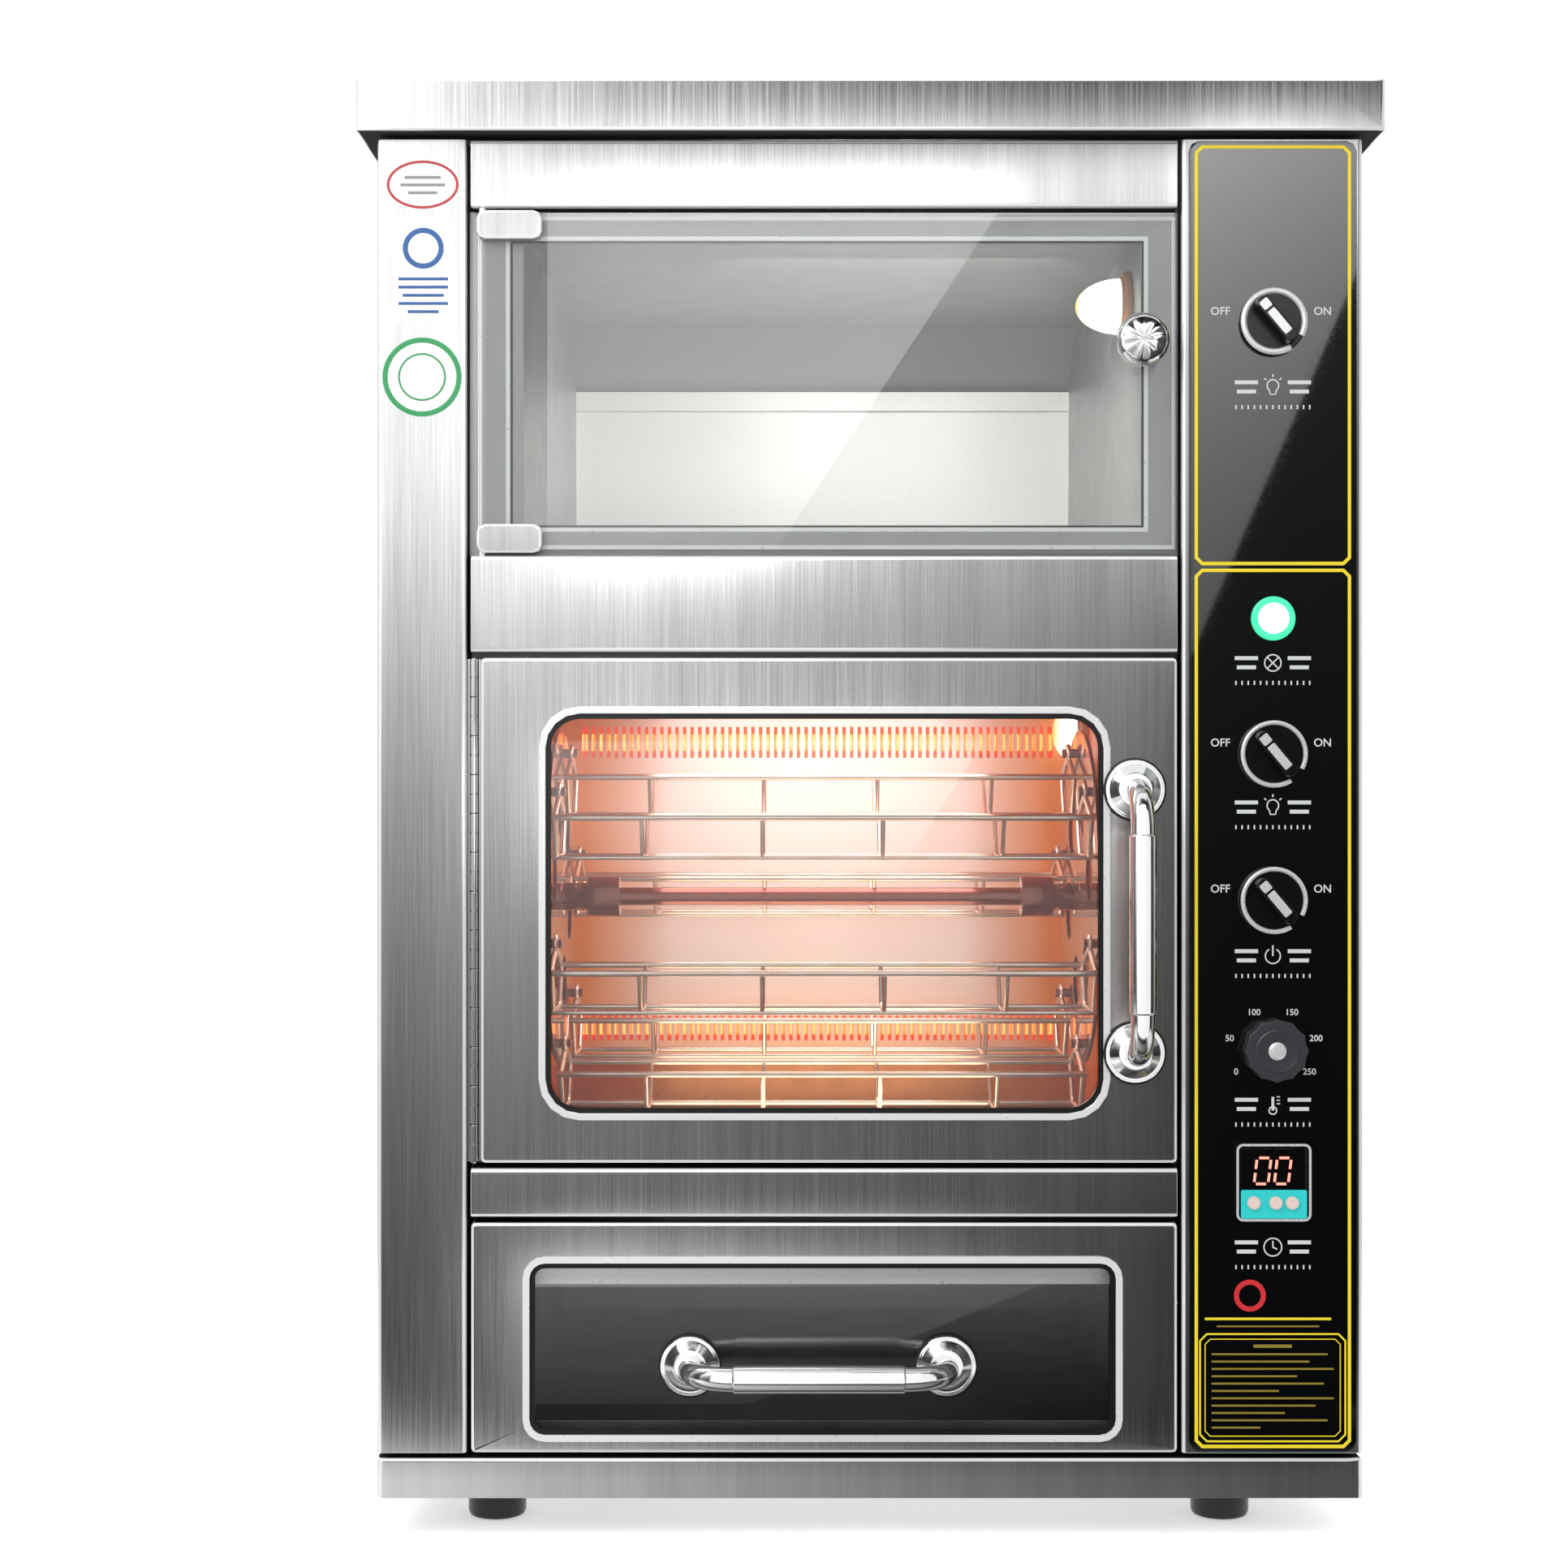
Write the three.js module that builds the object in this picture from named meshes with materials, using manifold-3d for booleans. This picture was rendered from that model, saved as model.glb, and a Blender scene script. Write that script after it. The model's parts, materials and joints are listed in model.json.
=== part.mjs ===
// Electric roaster: a free-standing steel cabinet with a lit warmer behind a glass door at the top, an
// oven in the middle where six wire baskets hang from a turning rotor, and a drawer at the bottom.
// Millimetres, +X right, +Y to the back, +Z up. The origin is on the floor, under the middle of the
// object's box. Right and left are as seen by someone who stands in front.
import * as THREE from "three";
import { mergeVertices } from "three/addons/utils/BufferGeometryUtils.js";
import Module from "manifold-3d";

const wasm = await Module();
wasm.setup();

// Sheets, clearances and counts that many pieces share
const seat_gap = 0.3; // between two pieces that are fastened to each other
const running_gap = 0.4; // between two pieces that slide or turn in each other
const cut_over = 1; // how far a cutting body runs past the face it opens
const sheet = 1.5; // folded steel of the cabinet
const thin_sheet = 1.2; // back cover, heater guard and drawer tray
const bend_radius = 3;
const round_sides = 16;
const small_sides = 12;
const pin_sides = 8;
const thin_pin_sides = 6;
const rail_sides = 6;
const wire_sides = 4;

// Cabinet
const body_width = 578;
const body_depth = 450;
const cap_overhang = 11;
const cap_height = 30;
const cap_seam = 2.5;
const foot_height = 25.7;
const plinth_height = 23.3;
const front_seam = 3; // dark line between two fronts that lie above each other
const side_seam = 2.4; // dark line between a front and the column beside it
const left_column_width = 52.5;
const right_column_width = 106.3;
const return_depth = 25.7; // how far the fronts are folded back
const drawer_front_height = 135;
const lower_fascia_height = 29;
const oven_door_height = 296.5;
const middle_fascia_height = 57;
const warmer_opening_height = 204;
const top_fascia_height = 40;

// Handles and the cable gland set how far the object reaches in front and behind
const handle_standoff = 35.2;
const handle_bar_radius = 8;
const rim_proud = 1.5; // of the rims round the windows, on which a handle's rose bears
const gland_reach = 16;

// Places that follow from the sizes above
const handle_reach = rim_proud + seat_gap + handle_standoff + handle_bar_radius;
const front = handle_reach - (handle_reach + body_depth + gland_reach) / 2;
const back = front + body_depth;
const side = body_width / 2;
const bay_left = -side + left_column_width;
const bay_right = side - right_column_width;
const front_left = bay_left + side_seam;
const front_right = bay_right - side_seam;
const plinth_top = foot_height + plinth_height;
const drawer_bottom = plinth_top + front_seam;
const drawer_top = drawer_bottom + drawer_front_height;
const lower_fascia_bottom = drawer_top + front_seam;
const lower_fascia_top = lower_fascia_bottom + lower_fascia_height;
const door_bottom = lower_fascia_top + front_seam;
const door_top = door_bottom + oven_door_height;
const middle_fascia_bottom = door_top + front_seam;
const middle_fascia_top = middle_fascia_bottom + middle_fascia_height;
const top_fascia_bottom = middle_fascia_top + warmer_opening_height;
const top_fascia_top = top_fascia_bottom + top_fascia_height;
const cap_bottom = top_fascia_top + cap_seam;
const overall_height = cap_bottom + cap_height;

// Geometry helpers
const quarter_turn = Math.PI / 2;

function inset(range, by) {
  return [range[0] + by, range[1] - by];
}

function grown(range, by) {
  return [range[0] - by, range[1] + by];
}

function solidOf(geometry) {
  const bare = geometry.index ? geometry.toNonIndexed() : geometry.clone();
  bare.deleteAttribute("normal");
  bare.deleteAttribute("uv");
  const merged = mergeVertices(bare);
  return new wasm.Manifold(
    new wasm.Mesh({
      numProp: 3,
      vertProperties: merged.attributes.position.array,
      triVerts: new Uint32Array(merged.index.array),
    }),
  );
}

function geometryOf(solid) {
  const mesh = solid.getMesh();
  const geometry = new THREE.BufferGeometry();
  geometry.setAttribute("position", new THREE.BufferAttribute(mesh.vertProperties, mesh.numProp));
  geometry.setIndex(new THREE.BufferAttribute(mesh.triVerts, 1));
  return geometry;
}

function join(...parts) {
  return geometryOf(parts.map(solidOf).reduce((whole, part) => whole.add(part)));
}

function cut(body, ...tools) {
  return geometryOf(tools.map(solidOf).reduce((left, tool) => left.subtract(tool), solidOf(body)));
}

function block(x, y, z) {
  const box = new THREE.BoxGeometry(x[1] - x[0], y[1] - y[0], z[1] - z[0]);
  return box.translate((x[0] + x[1]) / 2, (y[0] + y[1]) / 2, (z[0] + z[1]) / 2);
}

function outline(points) {
  return new THREE.Shape(points.map(([u, v]) => new THREE.Vector2(u, v)));
}

function roundedRect(u, v, radius, steps = 2) {
  const [u_in, v_in] = [inset(u, radius), inset(v, radius)];
  const centres = [
    [u_in[1], v_in[0]],
    [u_in[1], v_in[1]],
    [u_in[0], v_in[1]],
    [u_in[0], v_in[0]],
  ];
  const points = centres.flatMap(([cu, cv], corner) =>
    Array.from({ length: steps + 1 }, (_, i) => {
      const angle = (corner - 1 + i / steps) * quarter_turn;
      return [cu + radius * Math.cos(angle), cv + radius * Math.sin(angle)];
    }),
  );
  return outline(points);
}

function circle(u, v, radius, sides) {
  const turns = Array.from({ length: sides }, (_, i) => (2 * Math.PI * (i + 0.5)) / sides);
  return outline(turns.map((a) => [u + radius * Math.cos(a), v + radius * Math.sin(a)]));
}

// A hole's outline, whose flats clear the given radius
function clearCircle(u, v, radius, sides) {
  return circle(u, v, radius / Math.cos(Math.PI / sides), sides);
}

// A U section that opens towards +v, with rounded outer corners
function channel(u, v, wall, radius) {
  const shape = new THREE.Shape();
  shape.moveTo(u[0], v[1]);
  shape.absarc(u[0] + radius, v[0] + radius, radius, 2 * quarter_turn, 3 * quarter_turn);
  shape.absarc(u[1] - radius, v[0] + radius, radius, 3 * quarter_turn, 4 * quarter_turn);
  shape.lineTo(u[1], v[1]);
  shape.lineTo(u[1] - wall, v[1]);
  shape.lineTo(u[1] - wall, v[0] + wall);
  shape.lineTo(u[0] + wall, v[0] + wall);
  shape.lineTo(u[0] + wall, v[1]);
  return shape;
}

function extrude(shape, depth) {
  return new THREE.ExtrudeGeometry(shape, { depth, bevelEnabled: false, curveSegments: 1 });
}

const turned = (x, y, z) => new THREE.Matrix4().makeBasis(x, y, z);
const axis_x = new THREE.Vector3(1, 0, 0);
const axis_y = new THREE.Vector3(0, 1, 0);
const axis_z = new THREE.Vector3(0, 0, 1);

// A shape drawn on X and Y, running up
function alongZ(shape, z) {
  return extrude(shape, z[1] - z[0]).translate(0, 0, z[0]);
}

// A shape drawn on X and Z, as seen from the front, running back
function alongY(shape, y) {
  const facing = turned(axis_x, axis_z, axis_y.clone().negate());
  return extrude(shape, y[1] - y[0]).applyMatrix4(facing).translate(0, y[1], 0);
}

// A shape drawn on Y and Z, running to the right
function alongX(shape, x) {
  return extrude(shape, x[1] - x[0]).applyMatrix4(turned(axis_y, axis_z, axis_x)).translate(x[0], 0, 0);
}

// A profile of [radius, height] points, turned about an axis: "x", "z", "front" or "back"
function revolve(profile, axis, sides) {
  const points = profile.map(([radius, height]) => new THREE.Vector2(radius, height));
  const body = new THREE.LatheGeometry(points, sides);
  if (axis === "x") return body.rotateZ(-quarter_turn);
  if (axis === "z") return body.rotateX(quarter_turn);
  if (axis === "front") return body.rotateX(2 * quarter_turn);
  return body;
}

function tube(path, radius, sides, steps) {
  const section = circle(0, 0, radius, sides);
  return new THREE.ExtrudeGeometry(section, { steps, bevelEnabled: false, extrudePath: path });
}

const roaster = new THREE.Group();

function add(name, geometry, finish, parent = roaster) {
  const mesh = new THREE.Mesh(geometry, finish);
  mesh.name = name;
  parent.add(mesh);
  return mesh;
}

function finish(color, roughness, metalness, opacity = 1) {
  return new THREE.MeshStandardMaterial({ color, roughness, metalness, opacity, transparent: opacity < 1 });
}

const brushed_steel = finish(0xb9bbbd, 0.34, 1);
const liner_steel = finish(0xc6c6c4, 0.4, 1);
const polished_steel = finish(0xe2e3e4, 0.14, 1);
const wire_steel = finish(0x9d968c, 0.3, 1);
const motor_steel = finish(0x6f7275, 0.45, 0.8);
const black_rubber = finish(0x17181a, 0.75, 0);
const black_plastic = finish(0x101113, 0.35, 0);
const gloss_black = finish(0x0b0c0e, 0.08, 0);
const clear_glass = finish(0xf2f7f7, 0.03, 0, 0.2);
const lamp_glass = finish(0xffe2a0, 0.15, 0);
const quartz_white = finish(0xf1dcc4, 0.3, 0);
const green_lens = finish(0x2fe08a, 0.2, 0);
const button_white = finish(0xe6eef0, 0.35, 0);
const grey_rubber = finish(0x6d6f70, 0.8, 0);

// Feet and plinth: a folded pan on four adjustable feet, whose studs go through the corner plates
const foot_radius = 17.5;
const foot_edge = 1.5;
const foot_inset_left = 64;
const foot_inset_right = 74;
const foot_setback = 60;
const stud_radius = 4;
const stud_height = 14;
const foot_plate = 100;
const fold_width = 22; // the inward fold at the rim of the plinth and the cap

function foot() {
  const shoulder = foot_height - seat_gap;
  const profile = [
    [0, 0],
    [foot_radius - foot_edge, 0],
    [foot_radius, foot_edge],
    [foot_radius, shoulder],
    [stud_radius, shoulder],
    [stud_radius, shoulder + stud_height],
    [0, shoulder + stud_height],
  ];
  return revolve(profile, "z", round_sides);
}

const foot_places = {
  foot_front_left: [-side + foot_inset_left, front + foot_setback],
  foot_front_right: [side - foot_inset_right, front + foot_setback],
  foot_rear_left: [-side + foot_inset_left, back - foot_setback],
  foot_rear_right: [side - foot_inset_right, back - foot_setback],
};

function basePlinth() {
  const x = [-side, side];
  const y = [front, back];
  const pan = alongZ(roundedRect(x, y, bend_radius), [foot_height, plinth_top]);
  const hollow = block(inset(x, sheet), inset(y, sheet), [foot_height + sheet, plinth_top - sheet]);
  const floor_z = [foot_height - cut_over, foot_height + sheet + cut_over];
  const opening_wide = block(inset(x, fold_width), inset(y, foot_plate), floor_z);
  const opening_deep = block(inset(x, foot_plate), inset(y, fold_width), floor_z);
  const holes = Object.values(foot_places).map(([u, v]) =>
    alongZ(clearCircle(u, v, stud_radius + seat_gap, pin_sides), floor_z),
  );
  return cut(pan, hollow, opening_wide, opening_deep, ...holes);
}

for (const [name, [x, y]] of Object.entries(foot_places)) {
  add(name, foot(), black_rubber).position.set(x, y, 0);
}
add("base_plinth", basePlinth(), brushed_steel);

// Cap: a shallow lid with an inward fold, wider than the body on both sides and in front
function topCap() {
  const x = [-side - cap_overhang, side + cap_overhang];
  const y = [front - cap_overhang, back];
  const lid = alongZ(roundedRect(x, y, bend_radius), [cap_bottom, overall_height]);
  const hollow = block(inset(x, sheet), inset(y, sheet), [cap_bottom + sheet, overall_height - sheet]);
  const rim_z = [cap_bottom - cut_over, cap_bottom + sheet + cut_over];
  return cut(lid, hollow, block(inset(x, fold_width), inset(y, fold_width), rim_z));
}

add("top_cap", topCap(), brushed_steel);

// Side panels with a rear fold, and the vented back cover that lies on the two folds
const rear_fold = 18;
const vent_length = 70;
const vent_width = 5;
const vent_pitch = 18;
const vent_count = 6;
const side_vent_rise = 61; // from the plinth up to the lowest slot
const side_vent_back_inset = 110;
const back_vent_drop = 185; // from the cap down to the lowest slot
const back_vent_side_inset = 150;

const panel_z = [plinth_top + seat_gap, cap_bottom - seat_gap];
const panel_back = back - thin_sheet - seat_gap;

function sidePanel(hand) {
  const panel_front = front + return_depth + seat_gap;
  const skin = block(handed(hand, side - sheet, side), [panel_front, panel_back], panel_z);
  const fold = block(handed(hand, side - rear_fold, side), [panel_back - sheet, panel_back], panel_z);
  return join(skin, fold);
}

// A range of X on the right, or its mirror image on the left
function handed(hand, inner, outer) {
  return hand > 0 ? [inner, outer] : [-outer, -inner];
}

// A slot with pointed ends, lying along u
function slot(u, v) {
  const half = (v[1] - v[0]) / 2;
  const [u_in, v_mid] = [inset(u, half), v[0] + half];
  return outline([
    [u_in[0], v[0]],
    [u_in[1], v[0]],
    [u[1], v_mid],
    [u_in[1], v[1]],
    [u_in[0], v[1]],
    [u[0], v_mid],
  ]);
}

function ventRow(bottom, makeVent) {
  return Array.from({ length: vent_count }, (_, i) => makeVent(bottom + i * vent_pitch));
}

function ventInSide(z) {
  const end = back - side_vent_back_inset;
  const vent = slot([end - vent_length, end], [z, z + vent_width]);
  return alongX(vent, [side - sheet - cut_over, side + cut_over]);
}

function ventInBack(x, z) {
  const vent = slot(grown([x, x], vent_length / 2), [z, z + vent_width]);
  return alongY(vent, [back - thin_sheet - cut_over, back + cut_over]);
}

const gland_side_inset = 74;
const gland_rise = 46; // above the plinth
const gland_shank_radius = 8;
const gland_x = side - gland_side_inset;
const gland_z = plinth_top + gland_rise;

function backCover() {
  const cover = alongY(roundedRect([-side, side], panel_z, bend_radius), [back - thin_sheet, back]);
  const vents = [-side + back_vent_side_inset, side - back_vent_side_inset].flatMap((x) =>
    ventRow(cap_bottom - back_vent_drop, (z) => ventInBack(x, z)),
  );
  const hole_y = [back - thin_sheet - cut_over, back + cut_over];
  const hole = alongY(circle(gland_x, gland_z, gland_shank_radius + seat_gap, small_sides), hole_y);
  return cut(cover, ...vents, hole);
}

add("left_side_panel", sidePanel(-1), brushed_steel);
const side_vents = ventRow(plinth_top + side_vent_rise, ventInSide);
add("right_side_panel", cut(sidePanel(1), ...side_vents), brushed_steel);
add("back_cover", backCover(), brushed_steel);

// Cable gland: a shank through the back cover, a hexagonal body and a domed nut, bored right through
const gland_bore_radius = 4;
const gland_hex_radius = 13;
const hex_sides = 6;
const gland_hex_height = 6;
const gland_nut_radius = 10.5;
const gland_shank_length = 14;

function cableGland() {
  const shank = revolve(
    [
      [gland_bore_radius, -gland_shank_length],
      [gland_shank_radius, -gland_shank_length],
      [gland_shank_radius, seat_gap + gland_hex_height / 2],
      [gland_nut_radius, seat_gap + gland_hex_height / 2],
      [gland_nut_radius, (gland_hex_height + gland_reach) / 2],
      [(gland_bore_radius + gland_nut_radius) / 2, gland_reach],
      [gland_bore_radius, gland_reach],
      [gland_bore_radius, -gland_shank_length],
    ],
    "back",
    pin_sides,
  );
  const hex = alongY(circle(0, 0, gland_hex_radius, hex_sides), [seat_gap, seat_gap + gland_hex_height]);
  const bore = alongY(circle(0, 0, gland_bore_radius, pin_sides), [-cut_over, gland_reach + cut_over]);
  return join(shank, cut(hex, bore));
}

add("cable_gland", cableGland(), black_plastic).position.set(gland_x, back, gland_z);

// Front columns and fascias: folded channels, open to the back
const column_z = [plinth_top + front_seam, top_fascia_top];
const panel_thickness = 1.5;
const panel_margin = 4;
const panel_radius = 6;

// Heights on the control panel, as shares of the column's length; all are on its centre line
const warmer_light_share = 0.86;
const indicator_share = 0.635;
const oven_light_share = 0.532;
const power_share = 0.421;
const thermostat_share = 0.308;
const timer_share = 0.207;
const spindle_radius = 3;
const spindle_hole_radius = 4.5;
const indicator_stem_radius = 8;
const timer_width = 43.8;
const timer_height = 45.3;
const timer_rim = 2;
const control_x = (bay_right + side) / 2;

function onColumn(share) {
  return column_z[0] + share * (column_z[1] - column_z[0]);
}

const warmer_light_z = onColumn(warmer_light_share);
const indicator_z = onColumn(indicator_share);
const oven_light_z = onColumn(oven_light_share);
const power_z = onColumn(power_share);
const thermostat_z = onColumn(thermostat_share);
const timer_z = onColumn(timer_share);

function columnHoles() {
  const y = [front - panel_thickness - cut_over, front + sheet + cut_over];
  const spindles = [warmer_light_z, oven_light_z, power_z, thermostat_z];
  const timer_x = grown([control_x, control_x], timer_width / 2 - timer_rim);
  const timer_span = grown([timer_z, timer_z], timer_height / 2 - timer_rim);
  return [
    ...spindles.map((z) => alongY(clearCircle(control_x, z, spindle_hole_radius, pin_sides), y)),
    alongY(clearCircle(control_x, indicator_z, indicator_stem_radius + seat_gap, small_sides), y),
    block(timer_x, y, timer_span),
  ];
}

function column(x) {
  return alongZ(channel(x, [front, front + return_depth], sheet, bend_radius), column_z);
}

function controlPanel() {
  const x = inset([bay_right, side], panel_margin);
  const z = inset(column_z, front_seam / 2);
  const y = [front - seat_gap - panel_thickness, front - seat_gap];
  return cut(alongY(roundedRect(x, z, panel_radius), y), ...columnHoles());
}

function fascia(z) {
  const section = channel(z, [front, front + return_depth], sheet, bend_radius);
  const lying = turned(axis_z, axis_y, axis_x.clone().negate());
  const length = front_right - front_left;
  return extrude(section, length).applyMatrix4(lying).translate(front_right, 0, 0);
}

add("left_column", column([-side, bay_left]), brushed_steel);
add("right_column", cut(column([bay_right, side]), ...columnHoles()), brushed_steel);
add("control_panel", controlPanel(), gloss_black);
add("lower_fascia", fascia([lower_fascia_bottom, lower_fascia_top]), brushed_steel);

// Warmer door: a glass pane held by two clamp clips, each with a pivot pin in the fascia beside it
const clip_width = 38.5;
const clip_height = 17;
const clip_depth = 10;
const clip_radius = 5;
const clip_gap = 1.5; // between a clip and the fascia that holds its pin
const clip_side_gap = 3.3;
const clip_proud = 0.8; // how far a clip stands in front of the cabinet's face
const pivot_inset = 3;
const pivot_radius = 2;
const pivot_length = 5;
const warmer_glass_thickness = 5;
const warmer_glass_right_gap = 4;
const warmer_glass_edge = 1.6; // the clip's end wall past the glass
const knob_side_inset = 20.7; // from the pane's right edge
const knob_drop = 76.9; // from the pane's top edge
const knob_profile_shares = [
  [0.35, 0],
  [0.35, 0.3],
  [0.62, 0.42],
  [1, 0.6],
  [1, 0.82],
  [0.76, 1],
  [0, 1],
];
const knob_radius = 15.5;
const knob_length = 22;
const knob_nut_radius = 7;
const knob_nut_length = 3;
const knob_stem_radius = 3;

const clip_x = [front_left + clip_side_gap, front_left + clip_side_gap + clip_width];
const clip_y = [front - clip_proud, front - clip_proud + clip_depth];
const pivot_x = clip_x[0] + pivot_inset;
const pivot_y = (clip_y[0] + clip_y[1]) / 2;
const glass_y = grown([pivot_y, pivot_y], warmer_glass_thickness / 2);
const top_clip_z = [top_fascia_bottom - clip_gap - clip_height, top_fascia_bottom - clip_gap];
const bottom_clip_z = [middle_fascia_top + clip_gap, middle_fascia_top + clip_gap + clip_height];
const warmer_glass_z = [bottom_clip_z[0] + warmer_glass_edge, top_clip_z[1] - warmer_glass_edge];
const warmer_glass_x = [clip_x[0] + warmer_glass_edge, bay_right - warmer_glass_right_gap];
const knob_x = warmer_glass_x[1] - knob_side_inset;
const knob_z = warmer_glass_z[1] - knob_drop;

function pivotHole(z) {
  const hole = clearCircle(pivot_x, pivot_y, pivot_radius + running_gap, pin_sides);
  return alongZ(hole, grown(z, cut_over));
}

function topFascia() {
  const plain = fascia([top_fascia_bottom, top_fascia_top]);
  return cut(plain, pivotHole([top_fascia_bottom, top_fascia_bottom + sheet]));
}

function middleFascia() {
  const plain = fascia([middle_fascia_bottom, middle_fascia_top]);
  return cut(plain, pivotHole([middle_fascia_top - sheet, middle_fascia_top]));
}

add("top_fascia", topFascia(), brushed_steel);
add("middle_fascia", middleFascia(), brushed_steel);

function warmerGlass() {
  const pane = block(warmer_glass_x, glass_y, warmer_glass_z);
  const hole = clearCircle(knob_x, knob_z, knob_stem_radius + seat_gap, pin_sides);
  return cut(pane, alongY(hole, grown(glass_y, cut_over)));
}

// up is 1 for the top clip, whose pin points up, and -1 for the bottom one
function hingeClip(z, up) {
  const body = alongY(roundedRect(clip_x, z, clip_radius), clip_y);
  const slot_x = [clip_x[0] + warmer_glass_edge - seat_gap, clip_x[1] + cut_over];
  const outer = warmer_glass_edge - seat_gap;
  const slot_z = up > 0 ? [z[0] - cut_over, z[1] - outer] : [z[0] + outer, z[1] + cut_over];
  const pin_z = up > 0 ? [z[1] - outer, z[1] + pivot_length] : [z[0] - pivot_length, z[0] + outer];
  const pin = alongZ(circle(pivot_x, pivot_y, pivot_radius, pin_sides), pin_z);
  return join(cut(body, block(slot_x, grown(glass_y, seat_gap), slot_z)), pin);
}

function warmerKnob() {
  const from_face = knob_profile_shares.map(([r, h]) => [r * knob_radius, seat_gap + h * knob_length]);
  const nut_front = -warmer_glass_thickness - seat_gap;
  const profile = [
    [0, nut_front - knob_nut_length],
    [knob_nut_radius, nut_front - knob_nut_length],
    [knob_nut_radius, nut_front],
    [knob_stem_radius, nut_front],
    [knob_stem_radius, seat_gap],
    ...from_face,
  ];
  return revolve(profile, "front", small_sides);
}

add("warmer_door_glass", warmerGlass(), clear_glass);
add("warmer_clip_top", hingeClip(top_clip_z, 1), polished_steel);
add("warmer_clip_bottom", hingeClip(bottom_clip_z, -1), polished_steel);
add("warmer_door_knob", warmerKnob(), polished_steel).position.set(knob_x, glass_y[0], knob_z);

// Warmer liner: a folded cabinet with a face frame, whose back leans in above a raised heating step
const frame_setback = 10.7; // clear of the clips as they turn
const liner_left_inset = 32.5; // from the column's edge
const liner_right_inset = 22.7;
const warmer_floor_rise = 11.5; // above the middle fascia
const warmer_ceiling_drop = 9.5; // below the top fascia
const warmer_ceiling_back_gap = 105; // from the ceiling's rear edge to the cabinet's back
const warmer_back_gap = 52;
const lip_drop = 53; // from the ceiling down to the lip
const lip_height = 14;
const lip_reach = 6;
const frame_left = 24.8; // widths of the face frame round its window
const frame_right = 20.9;
const frame_bottom = 17.2;
const frame_top = 17.9;

const liner_left = bay_left + liner_left_inset;
const warmer_liner_right = bay_right - liner_right_inset;
const warmer_floor = middle_fascia_top + warmer_floor_rise;
const warmer_ceiling = top_fascia_bottom - warmer_ceiling_drop;
const warmer_ceiling_depth = body_depth - warmer_ceiling_back_gap;
const warmer_depth = body_depth - warmer_back_gap;
const lip_bottom = warmer_ceiling - lip_drop;
const frame_window_x = [bay_left + frame_left, bay_right - frame_right];
const frame_window_z = [middle_fascia_top + frame_bottom, top_fascia_bottom - frame_top];

function warmerLiner() {
  const frame_x = inset([bay_left, bay_right], seat_gap);
  const frame_z = inset([middle_fascia_top, top_fascia_bottom], seat_gap);
  const frame_y = [front + frame_setback, front + frame_setback + sheet];
  const mouth_y = frame_y[1];
  const window = block(frame_window_x, grown(frame_y, cut_over), frame_window_z);
  const face = cut(block(frame_x, frame_y, frame_z), window);
  const lip_top = lip_bottom + lip_height;
  const deep = front + warmer_depth;
  const shell = outline([
    [mouth_y, warmer_floor - sheet],
    [deep + sheet, warmer_floor - sheet],
    [deep + sheet, lip_top + sheet],
    [front + warmer_ceiling_depth + sheet, warmer_ceiling + sheet],
    [mouth_y, warmer_ceiling + sheet],
  ]);
  const cavity = outline([
    [mouth_y - cut_over, warmer_floor],
    [deep, warmer_floor],
    [deep, lip_bottom],
    [deep - lip_reach, lip_bottom],
    [deep - lip_reach, lip_top],
    [deep, lip_top],
    [front + warmer_ceiling_depth, warmer_ceiling],
    [mouth_y - cut_over, warmer_ceiling],
  ]);
  const x = [liner_left, warmer_liner_right];
  const box = cut(alongX(shell, grown(x, sheet)), alongX(cavity, x));
  const flange = cut(
    block(frame_x, [mouth_y, mouth_y + sheet], frame_z),
    block(x, grown([mouth_y, mouth_y + sheet], cut_over), [warmer_floor, warmer_ceiling]),
  );
  return join(face, flange, box);
}

add("warmer_liner", warmerLiner(), liner_steel);

// Lamps: a glass dome on a round base, both on the right wall, pointing left
function lampDome(radius, height, base_radius, base_height) {
  const steps = 4;
  const dome = Array.from({ length: steps }, (_, i) => {
    const angle = (quarter_turn * i) / steps;
    return [radius * Math.cos(angle), base_height + (height - base_height) * Math.sin(angle)];
  });
  const profile = [[0, 0], [base_radius, 0], [base_radius, base_height], ...dome, [0, height]];
  return revolve(profile, "x", small_sides).rotateZ(2 * quarter_turn);
}

const warmer_lamp = { radius: 17, height: 32, base_radius: 21, base_height: 4 };
const warmer_lamp_depth = 65;
const warmer_lamp_drop = 37; // below the ceiling
const oven_lamp = { radius: 20, height: 22, base_radius: 25, base_height: 5 };

function addLamp(name, lamp, wall_x, depth, z) {
  const body = lampDome(lamp.radius, lamp.height, lamp.base_radius, lamp.base_height);
  add(name, body, lamp_glass).position.set(wall_x - seat_gap, front + depth, z);
}

const warmer_lamp_z = warmer_ceiling - warmer_lamp_drop;
addLamp("warmer_lamp", warmer_lamp, warmer_liner_right, warmer_lamp_depth, warmer_lamp_z);

// Oven liner: a box with a narrower mouth, whose flange bears on the folds of columns and fascias
const oven_left_inset = 23.9; // from the column's edge
const oven_right_inset = 23.3;
const oven_floor_drop = 8; // below the door
const oven_ceiling_drop = 10.5; // below the door's top
const oven_back_gap = 105; // from the oven's back to the cabinet's back
const oven_mouth_setback = 26;
const oven_flange_overlap = 6;
const mouth_side_inset = 13;
const mouth_sill = 22;
const mouth_head = 2;
const guard_back_gap = 24; // from the guard's face to the oven's back
const axle_depth_share = 0.4923; // of the room between the mouth's flange and the guard
const axle_height_share = 0.534; // of the oven's height
const shaft_radius = 6;
const shaft_hole_radius = 8;
const oven_lamp_back_gap = 55;
const oven_lamp_drop = 28;

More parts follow.
